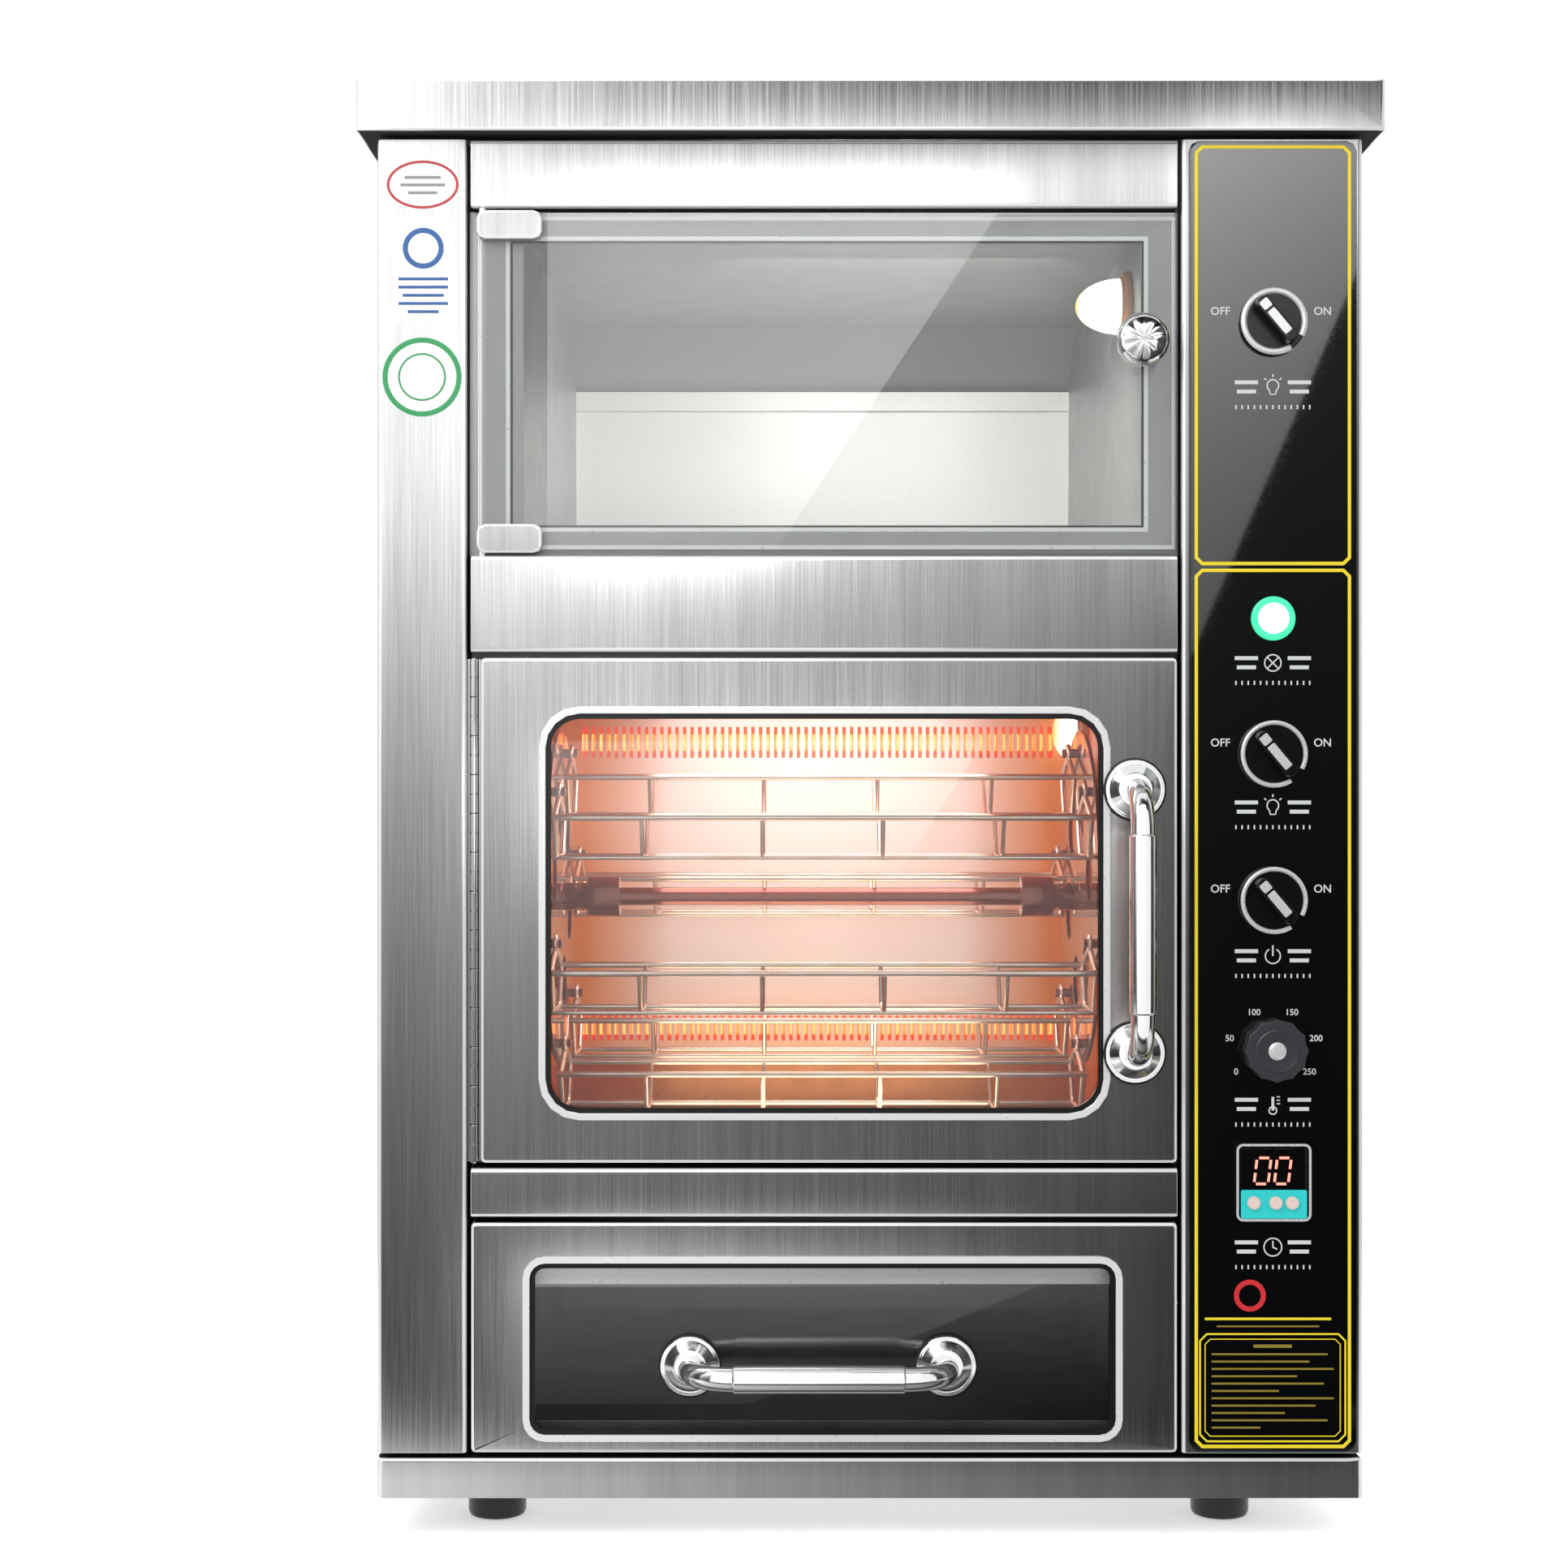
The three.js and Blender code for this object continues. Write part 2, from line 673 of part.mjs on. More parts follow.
const oven_left = bay_left + oven_left_inset;
const oven_right = bay_right - oven_right_inset;
const oven_floor = door_bottom - oven_floor_drop;
const oven_ceiling = door_top - oven_ceiling_drop;
const oven_back_depth = body_depth - oven_back_gap;
const guard_depth = oven_back_depth - guard_back_gap;
const mouth_x = [oven_left + mouth_side_inset, oven_right - mouth_side_inset];
const mouth_z = [oven_floor + mouth_sill, oven_ceiling - mouth_head];
const rotor_room_start = oven_mouth_setback + sheet;
const axle_depth = rotor_room_start + axle_depth_share * (guard_depth - rotor_room_start);
const axle_z = oven_floor + axle_height_share * (oven_ceiling - oven_floor);

const oven_x = [oven_left, oven_right];
const oven_y = [front + oven_mouth_setback + sheet, front + oven_back_depth];
const oven_z = [oven_floor, oven_ceiling];
const axle_y = front + axle_depth;

function ovenLiner() {
  const flange_y = [front + oven_mouth_setback, oven_y[0]];
  const flange = block(
    grown([bay_left, bay_right], oven_flange_overlap),
    flange_y,
    grown([lower_fascia_top, middle_fascia_bottom], oven_flange_overlap),
  );
  const box = block(grown(oven_x, sheet), [flange_y[0], oven_y[1] + sheet], grown(oven_z, sheet));
  const shaft_hole = clearCircle(axle_y, axle_z, shaft_hole_radius, small_sides);
  return cut(
    join(flange, box),
    block(oven_x, oven_y, oven_z),
    block(mouth_x, grown(flange_y, cut_over), mouth_z),
    alongX(shaft_hole, grown(oven_x, sheet + cut_over)),
  );
}

add("oven_liner", ovenLiner(), liner_steel);
const oven_lamp_depth = oven_back_depth - oven_lamp_back_gap;
addLamp("oven_lamp", oven_lamp, oven_right, oven_lamp_depth, oven_ceiling - oven_lamp_drop);

// Heater guard: a sheet folded back at top and bottom, with slots in front of each quartz heater
const guard_foot_rise = 32; // from the oven's floor to the guard's lower edge
const guard_head_drop = 10;
const guard_side_gap = 0.8;
const guard_slot_width = 4.5;
const guard_slot_count = 12;
const guard_slot_margin = 1.3; // plain ends of the guard, in slot pitches
const upper_slot_drop = 45; // from the ceiling down to the row's lower end
const upper_slot_height = 22;
const lower_slot_rise = 48; // from the floor up to the row's lower end
const lower_slot_height = 18;
const heater_back_gap = 11;
const heater_radius = 6;
const heater_cap_radius = 8.5;
const heater_cap_length = 15;

const heater_depth = oven_back_depth - heater_back_gap;
const guard_z = [oven_floor + guard_foot_rise, oven_ceiling - guard_head_drop];
const guard_slot_pitch = (oven_right - oven_left) / (guard_slot_count + guard_slot_margin);
const upper_slot_bottom = oven_ceiling - upper_slot_drop;
const lower_slot_bottom = oven_floor + lower_slot_rise;
const upper_slot_z = [upper_slot_bottom, upper_slot_bottom + upper_slot_height];
const lower_slot_z = [lower_slot_bottom, lower_slot_bottom + lower_slot_height];

function heaterGuard() {
  const x = inset(oven_x, guard_side_gap);
  const y = [front + guard_depth, oven_y[1] - seat_gap];
  const lying = turned(axis_z, axis_y, axis_x.clone().negate());
  const section = channel(guard_z, y, thin_sheet, bend_radius);
  const body = extrude(section, x[1] - x[0]).applyMatrix4(lying).translate(x[1], 0, 0);
  const slot_y = [y[0] - cut_over, y[0] + thin_sheet + cut_over];
  const middle = (x[0] + x[1]) / 2;
  const slots = Array.from({ length: guard_slot_count }, (_, i) => {
    const slot_middle = middle + (i - (guard_slot_count - 1) / 2) * guard_slot_pitch;
    return grown([slot_middle, slot_middle], guard_slot_width / 2);
  });
  const rows = [upper_slot_z, lower_slot_z];
  return cut(body, ...slots.flatMap((slot_x) => rows.map((z) => block(slot_x, slot_y, z))));
}

function quartzHeater() {
  const length = oven_right - oven_left - 2 * seat_gap;
  const profile = [
    [0, 0],
    [heater_cap_radius, 0],
    [heater_cap_radius, heater_cap_length],
    [heater_radius, heater_cap_length],
    [heater_radius, length - heater_cap_length],
    [heater_cap_radius, length - heater_cap_length],
    [heater_cap_radius, length],
    [0, length],
  ];
  return revolve(profile, "x", small_sides);
}

function addHeater(name, slots_z) {
  const z = (slots_z[0] + slots_z[1]) / 2;
  add(name, quartzHeater(), quartz_white).position.set(oven_left + seat_gap, front + heater_depth, z);
}

add("heater_guard", heaterGuard(), liner_steel);
addHeater("upper_heater", upper_slot_z);
addHeater("lower_heater", lower_slot_z);

// Bearings outside both oven walls, and the gearmotor on a hat-shaped bracket at the right
const bearing_flange_radius = 20;
const bearing_flange_thickness = 4;
const bearing_hub_radius = 12;
const bearing_length = 12;

function shaftBearing() {
  const bore = shaft_radius + seat_gap;
  const profile = [
    [bore, 0],
    [bearing_flange_radius, 0],
    [bearing_flange_radius, bearing_flange_thickness],
    [bearing_hub_radius, bearing_flange_thickness],
    [bearing_hub_radius, bearing_length],
    [bore, bearing_length],
    [bore, 0],
  ];
  return revolve(profile, "x", small_sides);
}

const right_wall = oven_right + sheet + seat_gap;
const left_wall = oven_left - sheet - seat_gap;
add("shaft_bearing_right", shaftBearing(), motor_steel).position.set(right_wall, axle_y, axle_z);
const left_bearing = shaftBearing().rotateY(2 * quarter_turn);
add("shaft_bearing_left", left_bearing, motor_steel).position.set(left_wall, axle_y, axle_z);

const bracket_height = 70;
const bracket_half_width = 45;
const bracket_foot = 14;
const bracket_reach = 50;
const bracket_sheet = 2;
const gearbox_radius = 30;
const gearbox_length = 28;
const can_radius = 26;
const can_side_gap = 19.8; // from the motor's end to the cabinet's side
const can_edge = 3;
const stub_radius = 4;
const stub_length = 14;

function driveMotor() {
  const [w, t, reach] = [bracket_half_width, bracket_sheet, bracket_reach];
  const hat = outline([
    [0, -w - bracket_foot],
    [t, -w - bracket_foot],
    [t, -w],
    [reach, -w],
    [reach, w],
    [t, w],
    [t, w + bracket_foot],
    [0, w + bracket_foot],
    [0, w - t],
    [reach - t, w - t],
    [reach - t, t - w],
    [0, t - w],
  ]);
  const bracket = alongZ(hat, grown([0, 0], bracket_height / 2));
  const can_start = reach + gearbox_length;
  const can_end = side - can_side_gap - right_wall;
  const motor = revolve(
    [
      [0, reach - t - stub_length],
      [stub_radius, reach - t - stub_length],
      [stub_radius, reach - t / 2],
      [gearbox_radius, reach - t / 2],
      [gearbox_radius, can_start],
      [can_radius, can_start],
      [can_radius, can_end - can_edge],
      [can_radius - can_edge, can_end],
      [0, can_end],
    ],
    "x",
    round_sides,
  );
  return join(bracket, motor);
}

add("drive_motor", driveMotor(), motor_steel).position.set(right_wall, axle_y, axle_z);

// Rotor: a shaft with its coupling sleeve, and two discs that carry a ring of pins for the baskets
const basket_count = 6;
const basket_circle_share = 0.33; // of the oven's height or of its depth before the guard
const first_basket_angle = 45; // degrees up from straight ahead
const disc_edge = 12; // from the pins' circle to the disc's edge
const disc_thickness = 2.5;
const disc_wall_gap = 15;
const disc_hole_radius_share = 0.175; // of the pins' circle
const disc_hole_circle_share = 0.6;
const disc_sides = 32;
const disc_hole_sides = 10;
const sleeve_radius = 9;
const sleeve_length = 17;
const collar_radius = 13;
const collar_length = 21;
const pin_radius = 3;
const pin_length = 8;
const shaft_left_length = 16; // past the oven's left wall
const coupling_radius = 11;
const coupling_length = 26;
const coupling_gap = 3;

const rotor = new THREE.Group();
rotor.position.set((oven_left + oven_right) / 2, axle_y, axle_z);
roaster.add(rotor);
const half_oven = (oven_right - oven_left) / 2;
const rotor_room = Math.min(oven_ceiling - oven_floor, guard_depth - rotor_room_start);
const basket_circle = basket_circle_share * rotor_room;
const disc_radius = basket_circle + disc_edge;
const disc_hole_circle = disc_hole_circle_share * basket_circle;
const disc_hole_radius = disc_hole_radius_share * basket_circle;
const disc_inner = half_oven - disc_wall_gap - disc_thickness;

function basketPlace(i) {
  const angle = THREE.MathUtils.degToRad(first_basket_angle) - (2 * Math.PI * i) / basket_count;
  return [-basket_circle * Math.cos(angle), basket_circle * Math.sin(angle)];
}

function rotorShaft() {
  const motor_face = half_oven + sheet + seat_gap + bracket_reach - bracket_sheet;
  const end = motor_face - coupling_gap;
  const stub_tip = motor_face - stub_length;
  const bore = stub_radius + seat_gap;
  const profile = [
    [0, -half_oven - sheet - shaft_left_length],
    [shaft_radius, -half_oven - sheet - shaft_left_length],
    [shaft_radius, end - coupling_length],
    [coupling_radius, end - coupling_length],
    [coupling_radius, end],
    [bore, end],
    [bore, stub_tip - seat_gap],
    [0, stub_tip - seat_gap],
  ];
  return revolve(profile, "x", small_sides);
}

// hand is 1 for the right disc and -1 for the left one
function rotorDisc(hand) {
  const bore = shaft_radius + seat_gap;
  const along = [-cut_over, disc_thickness + cut_over];
  const blank = alongX(circle(0, 0, disc_radius, disc_sides), [0, disc_thickness]);
  const plate = cut(blank, alongX(circle(0, 0, (bore + sleeve_radius) / 2, small_sides), along));
  const hub = revolve(
    [
      [bore, 0],
      [sleeve_radius, 0],
      [sleeve_radius, disc_thickness + sleeve_length],
      [collar_radius, disc_thickness + sleeve_length],
      [collar_radius, disc_thickness + sleeve_length + collar_length],
      [bore, disc_thickness + sleeve_length + collar_length],
      [bore, 0],
    ],
    "x",
    small_sides,
  );
  const half_step = Math.PI / basket_count;
  const holes = Array.from({ length: basket_count }, (_, i) => {
    const [y, z] = basketPlace(i);
    const angle = Math.atan2(z, y) + half_step;
    const centre = [disc_hole_circle * Math.cos(angle), disc_hole_circle * Math.sin(angle)];
    return alongX(circle(...centre, disc_hole_radius, disc_hole_sides), along);
  });
  const pins = Array.from({ length: basket_count }, (_, i) => {
    const pin_x = [disc_thickness / 2, disc_thickness + pin_length];
    return alongX(circle(...basketPlace(i), pin_radius, thin_pin_sides), pin_x);
  });
  const body = join(cut(plate, ...holes), hub, ...pins);
  if (hand < 0) return body;
  const mirror = new THREE.Matrix4().makeScale(-1, 1, 1);
  return flipped(body.applyMatrix4(mirror));
}

// Mirroring turns the faces inside out, so each triangle is listed the other way round
function flipped(geometry) {
  const index = geometry.index.array;
  for (let i = 0; i < index.length; i += 3) {
    [index[i + 1], index[i + 2]] = [index[i + 2], index[i + 1]];
  }
  return geometry;
}

add("rotor_shaft", rotorShaft(), liner_steel, rotor);
add("rotor_disc_left", rotorDisc(-1), liner_steel, rotor).position.x = -disc_inner - disc_thickness;
add("rotor_disc_right", rotorDisc(1), liner_steel, rotor).position.x = disc_inner + disc_thickness;

// Baskets: welded wire troughs that hang by an eye at each end
const basket_end_gap = 1.5;
const basket_frame_inset = 1;
const basket_width_share = 0.753; // of the pins' circle, as the next three
const basket_floor_share = 0.454;
const rail_drop_share = 0.161; // from the pin down to the two top rails
const trough_depth_share = 0.258;
const rail_radius = 2;
const floor_wire_radius = 1.5;
const hoop_wire = 3;
const hoop_count = 2;
const eye_radius = 6.5;
const eye_hole_radius = pin_radius + running_gap;

const hoop_half = hoop_wire / 2;
const rail_half = (basket_width_share * basket_circle) / 2;
const floor_half = (basket_floor_share * basket_circle) / 2;
const rail_drop = rail_drop_share * basket_circle;
const floor_level = -rail_drop - trough_depth_share * basket_circle;

function straightWire(x, y, z, radius, sides) {
  return alongX(circle(y, z, radius, sides), x);
}

function hoop(x) {
  const strip = outline([
    [-rail_half - hoop_half, -rail_drop],
    [-floor_half - hoop_half, floor_level - hoop_half],
    [floor_half + hoop_half, floor_level - hoop_half],
    [rail_half + hoop_half, -rail_drop],
    [rail_half - hoop_half, -rail_drop],
    [floor_half - hoop_half / 2, floor_level + hoop_half],
    [hoop_half / 2 - floor_half, floor_level + hoop_half],
    [hoop_half - rail_half, -rail_drop],
  ]);
  return alongX(strip, grown([x, x], hoop_half));
}

// The end frame is a closed hoop that runs up on both sides to the eye
function endFrame(x) {
  const edge = outline([
    [-rail_half - hoop_half, -rail_drop],
    [-floor_half - hoop_half, floor_level - hoop_half],
    [floor_half + hoop_half, floor_level - hoop_half],
    [rail_half + hoop_half, -rail_drop],
    [eye_radius / 2, 0],
    [-eye_radius / 2, 0],
  ]);
  edge.holes.push(
    outline([
      [hoop_half - rail_half, -rail_drop - hoop_half / 2],
      [0, -eye_radius],
      [rail_half - hoop_half, -rail_drop - hoop_half / 2],
      [floor_half - hoop_half / 2, floor_level + hoop_half],
      [hoop_half / 2 - floor_half, floor_level + hoop_half],
    ]),
  );
  const span = grown([x, x], hoop_half);
  const eye = alongX(circle(0, 0, eye_radius, pin_sides), span);
  const hole = alongX(clearCircle(0, 0, eye_hole_radius, pin_sides), grown(span, cut_over));
  return cut(join(alongX(edge, span), eye), hole);
}

function basket() {
  const half = disc_inner - basket_end_gap;
  const x = [-half, half];
  const frame_x = half - basket_frame_inset - hoop_half;
  const floor_x = grown([0, 0], frame_x);
  const hoop_pitch = (2 * frame_x) / (hoop_count + 1);
  const hoops = Array.from({ length: hoop_count }, (_, i) => hoop((i + 1) * hoop_pitch - frame_x));
  return join(
    straightWire(x, -rail_half, -rail_drop, rail_radius, rail_sides),
    straightWire(x, rail_half, -rail_drop, rail_radius, rail_sides),
    straightWire(floor_x, -floor_half, floor_level, floor_wire_radius, wire_sides),
    straightWire(floor_x, floor_half, floor_level, floor_wire_radius, wire_sides),
    endFrame(-frame_x),
    endFrame(frame_x),
    ...hoops,
  );
}

for (let i = 0; i < basket_count; i += 1) {
  const [y, z] = basketPlace(i);
  add(`basket_${i + 1}`, basket(), wire_steel, rotor).position.set(0, y, z);
}

// Framed fronts: the oven door and the drawer front are folded pans with a raised rim round a window
const front_corner_radius = 2.5;
const window_corner_steps = 4;
const rim_width = 4;
const pan_depth = 22;
const pane_overlap = 6;
const pane_thickness = 4;

function framedFront(x, z, window_x, window_z, window_radius) {
  const y = [front, front + pan_depth];
  const skin = alongY(roundedRect(x, z, front_corner_radius), y);
  const hollow = block(inset(x, sheet), [front + sheet, y[1] + cut_over], inset(z, sheet));
  const rim_y = [front - rim_proud, front + sheet];
  const rim = alongY(roundedRect(window_x, window_z, window_radius, window_corner_steps), rim_y);
  const opening = windowOpening(window_x, window_z, window_radius, 0);
  return cut(join(cut(skin, hollow), rim), alongY(opening, grown(rim_y, cut_over)));
}

// The plate that closes a framed front from behind
function backPlate(x, z) {
  return roundedRect(inset(x, sheet), inset(z, sheet), front_corner_radius);
}

// The opening inside a rim, or the same outline a little wider
function windowOpening(window_x, window_z, window_radius, wider) {
  const by = rim_width - wider;
  return roundedRect(inset(window_x, by), inset(window_z, by), window_radius - by, window_corner_steps);
}

function windowPane(window_x, window_z) {
  const y = [front + sheet + seat_gap, front + sheet + seat_gap + pane_thickness];
  const x = grown(inset(window_x, rim_width), pane_overlap);
  return block(x, y, grown(inset(window_z, rim_width), pane_overlap));
}

// A bar handle on two round roses: ends bent through a quarter turn, and a thicker grip between them
const rose_radius = 18.5;
const rose_edge = 2;
const rose_height = 7;
const spigot_radius = 13.5;
const handle_stud_radius = 3.5;
const handle_nut_radius = 8;
const handle_nut_height = 3;
const elbow_tube_radius = 7;
const elbow_radius = 29;
const grip_overlap = 3;
const elbow_steps = 6;
const elbow_sides = 8;
const quarter_circle_share = 0.5523;

// Each rose stands on a spigot and clamps a plate of the given thickness between itself and a nut
function barHandle(length, spigot, plate) {
  const nut_front = -spigot - seat_gap - plate - seat_gap;
  const spigot_side = [
    [spigot_radius, -spigot],
    [spigot_radius, 0],
  ];
  const rose = [
    [0, nut_front - handle_nut_height],
    [handle_nut_radius, nut_front - handle_nut_height],
    [handle_nut_radius, nut_front],
    [handle_stud_radius, nut_front],
    [handle_stud_radius, -spigot],
    ...(spigot > 0 ? spigot_side : []),
    [rose_radius, 0],
    [rose_radius, rose_edge],
    [elbow_tube_radius + rose_edge, rose_height],
    [0, rose_height],
  ];
  const start = new THREE.Vector3(0, 0, rose_edge);
  const straight_end = new THREE.Vector3(0, 0, handle_standoff - elbow_radius);
  const bend_end = new THREE.Vector3(elbow_radius, 0, handle_standoff);
  const pull = quarter_circle_share * elbow_radius;
  const path = new THREE.CurvePath();
  path.add(new THREE.LineCurve3(start, straight_end));
  path.add(
    new THREE.CubicBezierCurve3(
      straight_end,
      straight_end.clone().add(new THREE.Vector3(0, 0, pull)),
      bend_end.clone().sub(new THREE.Vector3(pull, 0, 0)),
      bend_end,
    ),
  );
  path.add(new THREE.LineCurve3(bend_end, bend_end.clone().add(new THREE.Vector3(grip_overlap, 0, 0))));
  const elbow = tube(path, elbow_tube_radius, elbow_sides, elbow_steps);
  const far = (geometry) => geometry.clone().rotateZ(2 * quarter_turn).translate(length, 0, 0);
  const near_rose = revolve(rose, "z", small_sides);
  const grip = revolve(
    [
      [0, elbow_radius],
      [handle_bar_radius, elbow_radius],
      [handle_bar_radius, length - elbow_radius],
      [0, length - elbow_radius],
    ],
    "x",
    small_sides,
  ).translate(0, 0, handle_standoff);
  return join(near_rose, elbow, grip, far(near_rose), far(elbow));
}

// Oven door: framed front, glass, inner panel with a window tunnel, rope gasket, handle, hinge leaf
const door_frame_left = 34.3; // widths of the door round its window
const door_frame_right = 39.5;
const door_frame_bottom = 25.4;
const door_frame_top = 28.9;
const door_window_radius = 24;
const door_handle_inset = 25.3; // from the door's right edge
const door_handle_shares = [0.219, 0.739]; // of the door's height
const hinge_zone = 8.1; // from the left column's fold to the door's edge, where the hinge sits
const tunnel_wall = 1.2;
const gasket_inset = 7;
const gasket_width = 8;
const gasket_corner = 12;

const door_x = [bay_left + hinge_zone, front_right];
const door_z = [door_bottom, door_top];
const door_window_x = [door_x[0] + door_frame_left, door_x[1] - door_frame_right];
const door_window_z = [door_bottom + door_frame_bottom, door_top - door_frame_top];
const door_handle_x = door_x[1] - door_handle_inset;
const door_handle_z = door_handle_shares.map((share) => door_bottom + share * oven_door_height);
const inner_y = [front + pan_depth + seat_gap, front + pan_depth + seat_gap + thin_sheet];
const pane_back = front + sheet + seat_gap + pane_thickness;

function innerPanel() {
  const plate = alongY(backPlate(door_x, door_z), inner_y);
  const tunnel_y = [pane_back + seat_gap, inner_y[1]];
  const outer = windowOpening(door_window_x, door_window_z, door_window_radius, tunnel_wall);
  const opening = windowOpening(door_window_x, door_window_z, door_window_radius, 0);
  return cut(join(plate, alongY(outer, tunnel_y)), alongY(opening, grown(tunnel_y, cut_over)));
}

function gasket() {
  const y = [inner_y[1] + seat_gap, front + oven_mouth_setback - seat_gap];
  const x = inset(door_x, gasket_inset);
  const z = inset(door_z, gasket_inset);
  const ring = alongY(roundedRect(x, z, gasket_corner), y);
  const middle = roundedRect(inset(x, gasket_width), inset(z, gasket_width), gasket_corner - gasket_width);
  return cut(ring, alongY(middle, grown(y, cut_over)));
}

// Holes for the studs of a handle, through a front or a pane
function studHoles(x_places, z_places, y) {
  const hole = (x, z) => clearCircle(x, z, handle_stud_radius + seat_gap, pin_sides);
  return x_places.flatMap((x) => z_places.map((z) => alongY(hole(x, z), grown(y, cut_over))));
}

function ovenDoorShell() {
  const shell = framedFront(door_x, door_z, door_window_x, door_window_z, door_window_radius);
  return cut(shell, ...studHoles([door_handle_x], door_handle_z, [front, front + sheet]));
}

add("oven_door_shell", ovenDoorShell(), brushed_steel);
add("oven_door_glass", windowPane(door_window_x, door_window_z), clear_glass);
add("oven_door_inner_panel", innerPanel(), liner_steel);
add("oven_door_gasket", gasket(), grey_rubber);

const upright = turned(axis_z, axis_x.clone().negate(), axis_y.clone().negate());
const door_handle_length = door_handle_z[1] - door_handle_z[0];
const standing_handle = barHandle(door_handle_length, rim_proud, sheet).applyMatrix4(upright);
const door_handle = add("oven_door_handle", standing_handle, polished_steel);
door_handle.position.set(door_handle_x, front - rim_proud - seat_gap, door_handle_z[0]);

// Piano hinge: knuckles of two leaves take turns on one pin, which is fixed in the frame's leaf
const knuckle_count = 13;
const knuckle_radius = 2.3;
const hinge_pin_radius = 1.1;
const hinge_axis_setback = 2.2;
const leaf_thickness = 1;
const leaf_width = 20;
const leaf_notch = 0.7; // between a leaf and the other leaf's knuckles
const knuckle_sides = 6;

const hinge_y = front + hinge_axis_setback;
const frame_leaf_x = [bay_left + seat_gap, bay_left + seat_gap + leaf_thickness];
const door_leaf_x = [door_x[0] - seat_gap - leaf_thickness, door_x[0] - seat_gap];
const hinge_x = (frame_leaf_x[1] + door_leaf_x[0]) / 2;
const leaf_y = [hinge_y + knuckle_radius + leaf_notch, hinge_y + leaf_width];
const knuckle_pitch = oven_door_height / knuckle_count;

function knuckleSpans(first) {
  const spans = [];
  for (let i = first; i < knuckle_count; i += 2) {
    const start = door_bottom + i * knuckle_pitch;
    spans.push(inset([start, start + knuckle_pitch], running_gap / 2));
  }
  return spans;
}

// inward runs from the leaf towards the axis: 1 for the frame's leaf, -1 for the door's
function hingeLeaf(leaf_x, spans, inward) {
  const reach = hinge_x - (inward * knuckle_radius) / 2;
  const tab_x = inward > 0 ? [leaf_x[0], reach] : [reach, leaf_x[1]];
  const knuckle = circle(hinge_x, hinge_y, knuckle_radius, knuckle_sides);
  const plate = block(leaf_x, leaf_y, door_z);
  const tab_y = [hinge_y, leaf_y[0] + cut_over];
  const knuckles = spans.flatMap((z) => [alongZ(knuckle, z), block(tab_x, tab_y, z)]);
  return join(plate, ...knuckles);
}

const pin_line = alongZ(circle(hinge_x, hinge_y, hinge_pin_radius, thin_pin_sides), door_z);
const pin_bore = alongZ(
  clearCircle(hinge_x, hinge_y, hinge_pin_radius + running_gap, thin_pin_sides),
  grown(door_z, cut_over),
);
add("hinge_frame_leaf", join(hingeLeaf(frame_leaf_x, knuckleSpans(0), 1), pin_line), polished_steel);
add("hinge_door_leaf", cut(hingeLeaf(door_leaf_x, knuckleSpans(1), -1), pin_bore), polished_steel);

// Drawer: framed front with glass, an open tray with side ribs whose front plate closes the framed
// front from behind, and the cradle whose rails hold the ribs
const drawer_frame_left = 30.5; // widths of the front round its window
const drawer_frame_right = 32.3;
const drawer_frame_bottom = 7;
const drawer_frame_top = 19.5;
const drawer_window_radius = 13;
const drawer_handle_shares = [0.31, 0.673]; // of the front's width
const drawer_handle_rise = 51;
const tray_side_inset = 20.2; // from the front's edge to the tray
const tray_rise = 6; // from the front's lower edge to the tray
const tray_drop = 21; // from the front's upper edge to the tray's rim
const tray_back_gap = 92; // the cabinet's depth less the tray's length
const tray_window_band = 19;
const tray_window_sill = 8;
const tray_window_inset = 16;
const rib_depth = 6;
const rib_height = 20;
const rib_rise = 42; // from the tray's floor to its side ribs
const cradle_back_gap = 78; // the cabinet's depth less the cradle's length
const cradle_foot = 12;
const cradle_tie = 15;

const drawer_x = [front_left, front_right];
const drawer_z = [drawer_bottom, drawer_top];
const drawer_window_x = [drawer_x[0] + drawer_frame_left, drawer_x[1] - drawer_frame_right];
const drawer_window_z = [drawer_bottom + drawer_frame_bottom, drawer_top - drawer_frame_top];
const drawer_handle_x = drawer_handle_shares.map((share) => front_left + share * (front_right - front_left));
const drawer_handle_z = drawer_bottom + drawer_handle_rise;
const tray_front = front + pan_depth + seat_gap;
const tray_x = inset(drawer_x, tray_side_inset);
const tray_y = [tray_front, tray_front + body_depth - tray_back_gap];
const tray_z = [drawer_bottom + tray_rise, drawer_top - tray_drop];
const rib_z = tray_z[0] + rib_rise;

function drawerTray() {
  const box = block(tray_x, tray_y, tray_z);
  const hollow_z = [tray_z[0] + thin_sheet, tray_z[1] + cut_over];
  const hollow = block(inset(tray_x, thin_sheet), inset(tray_y, thin_sheet), hollow_z);
  const window_y = [tray_y[0] - cut_over, tray_y[0] + thin_sheet + cut_over];
  const window_z = [tray_z[0] + tray_window_sill, tray_z[1] - tray_window_band];
  const window = block(inset(tray_x, tray_window_inset), window_y, window_z);
  const plate_y = [tray_y[0], tray_y[0] + thin_sheet];
  const plate = alongY(backPlate(drawer_x, drawer_z), plate_y);
  const rib_span = [rib_z, rib_z + rib_height];
  const ribs = [
    block([tray_x[0] - rib_depth, tray_x[0] + thin_sheet / 2], tray_y, rib_span),
    block([tray_x[1] - thin_sheet / 2, tray_x[1] + rib_depth], tray_y, rib_span),
  ];
  return cut(join(cut(box, hollow), plate, ...ribs), window);
}

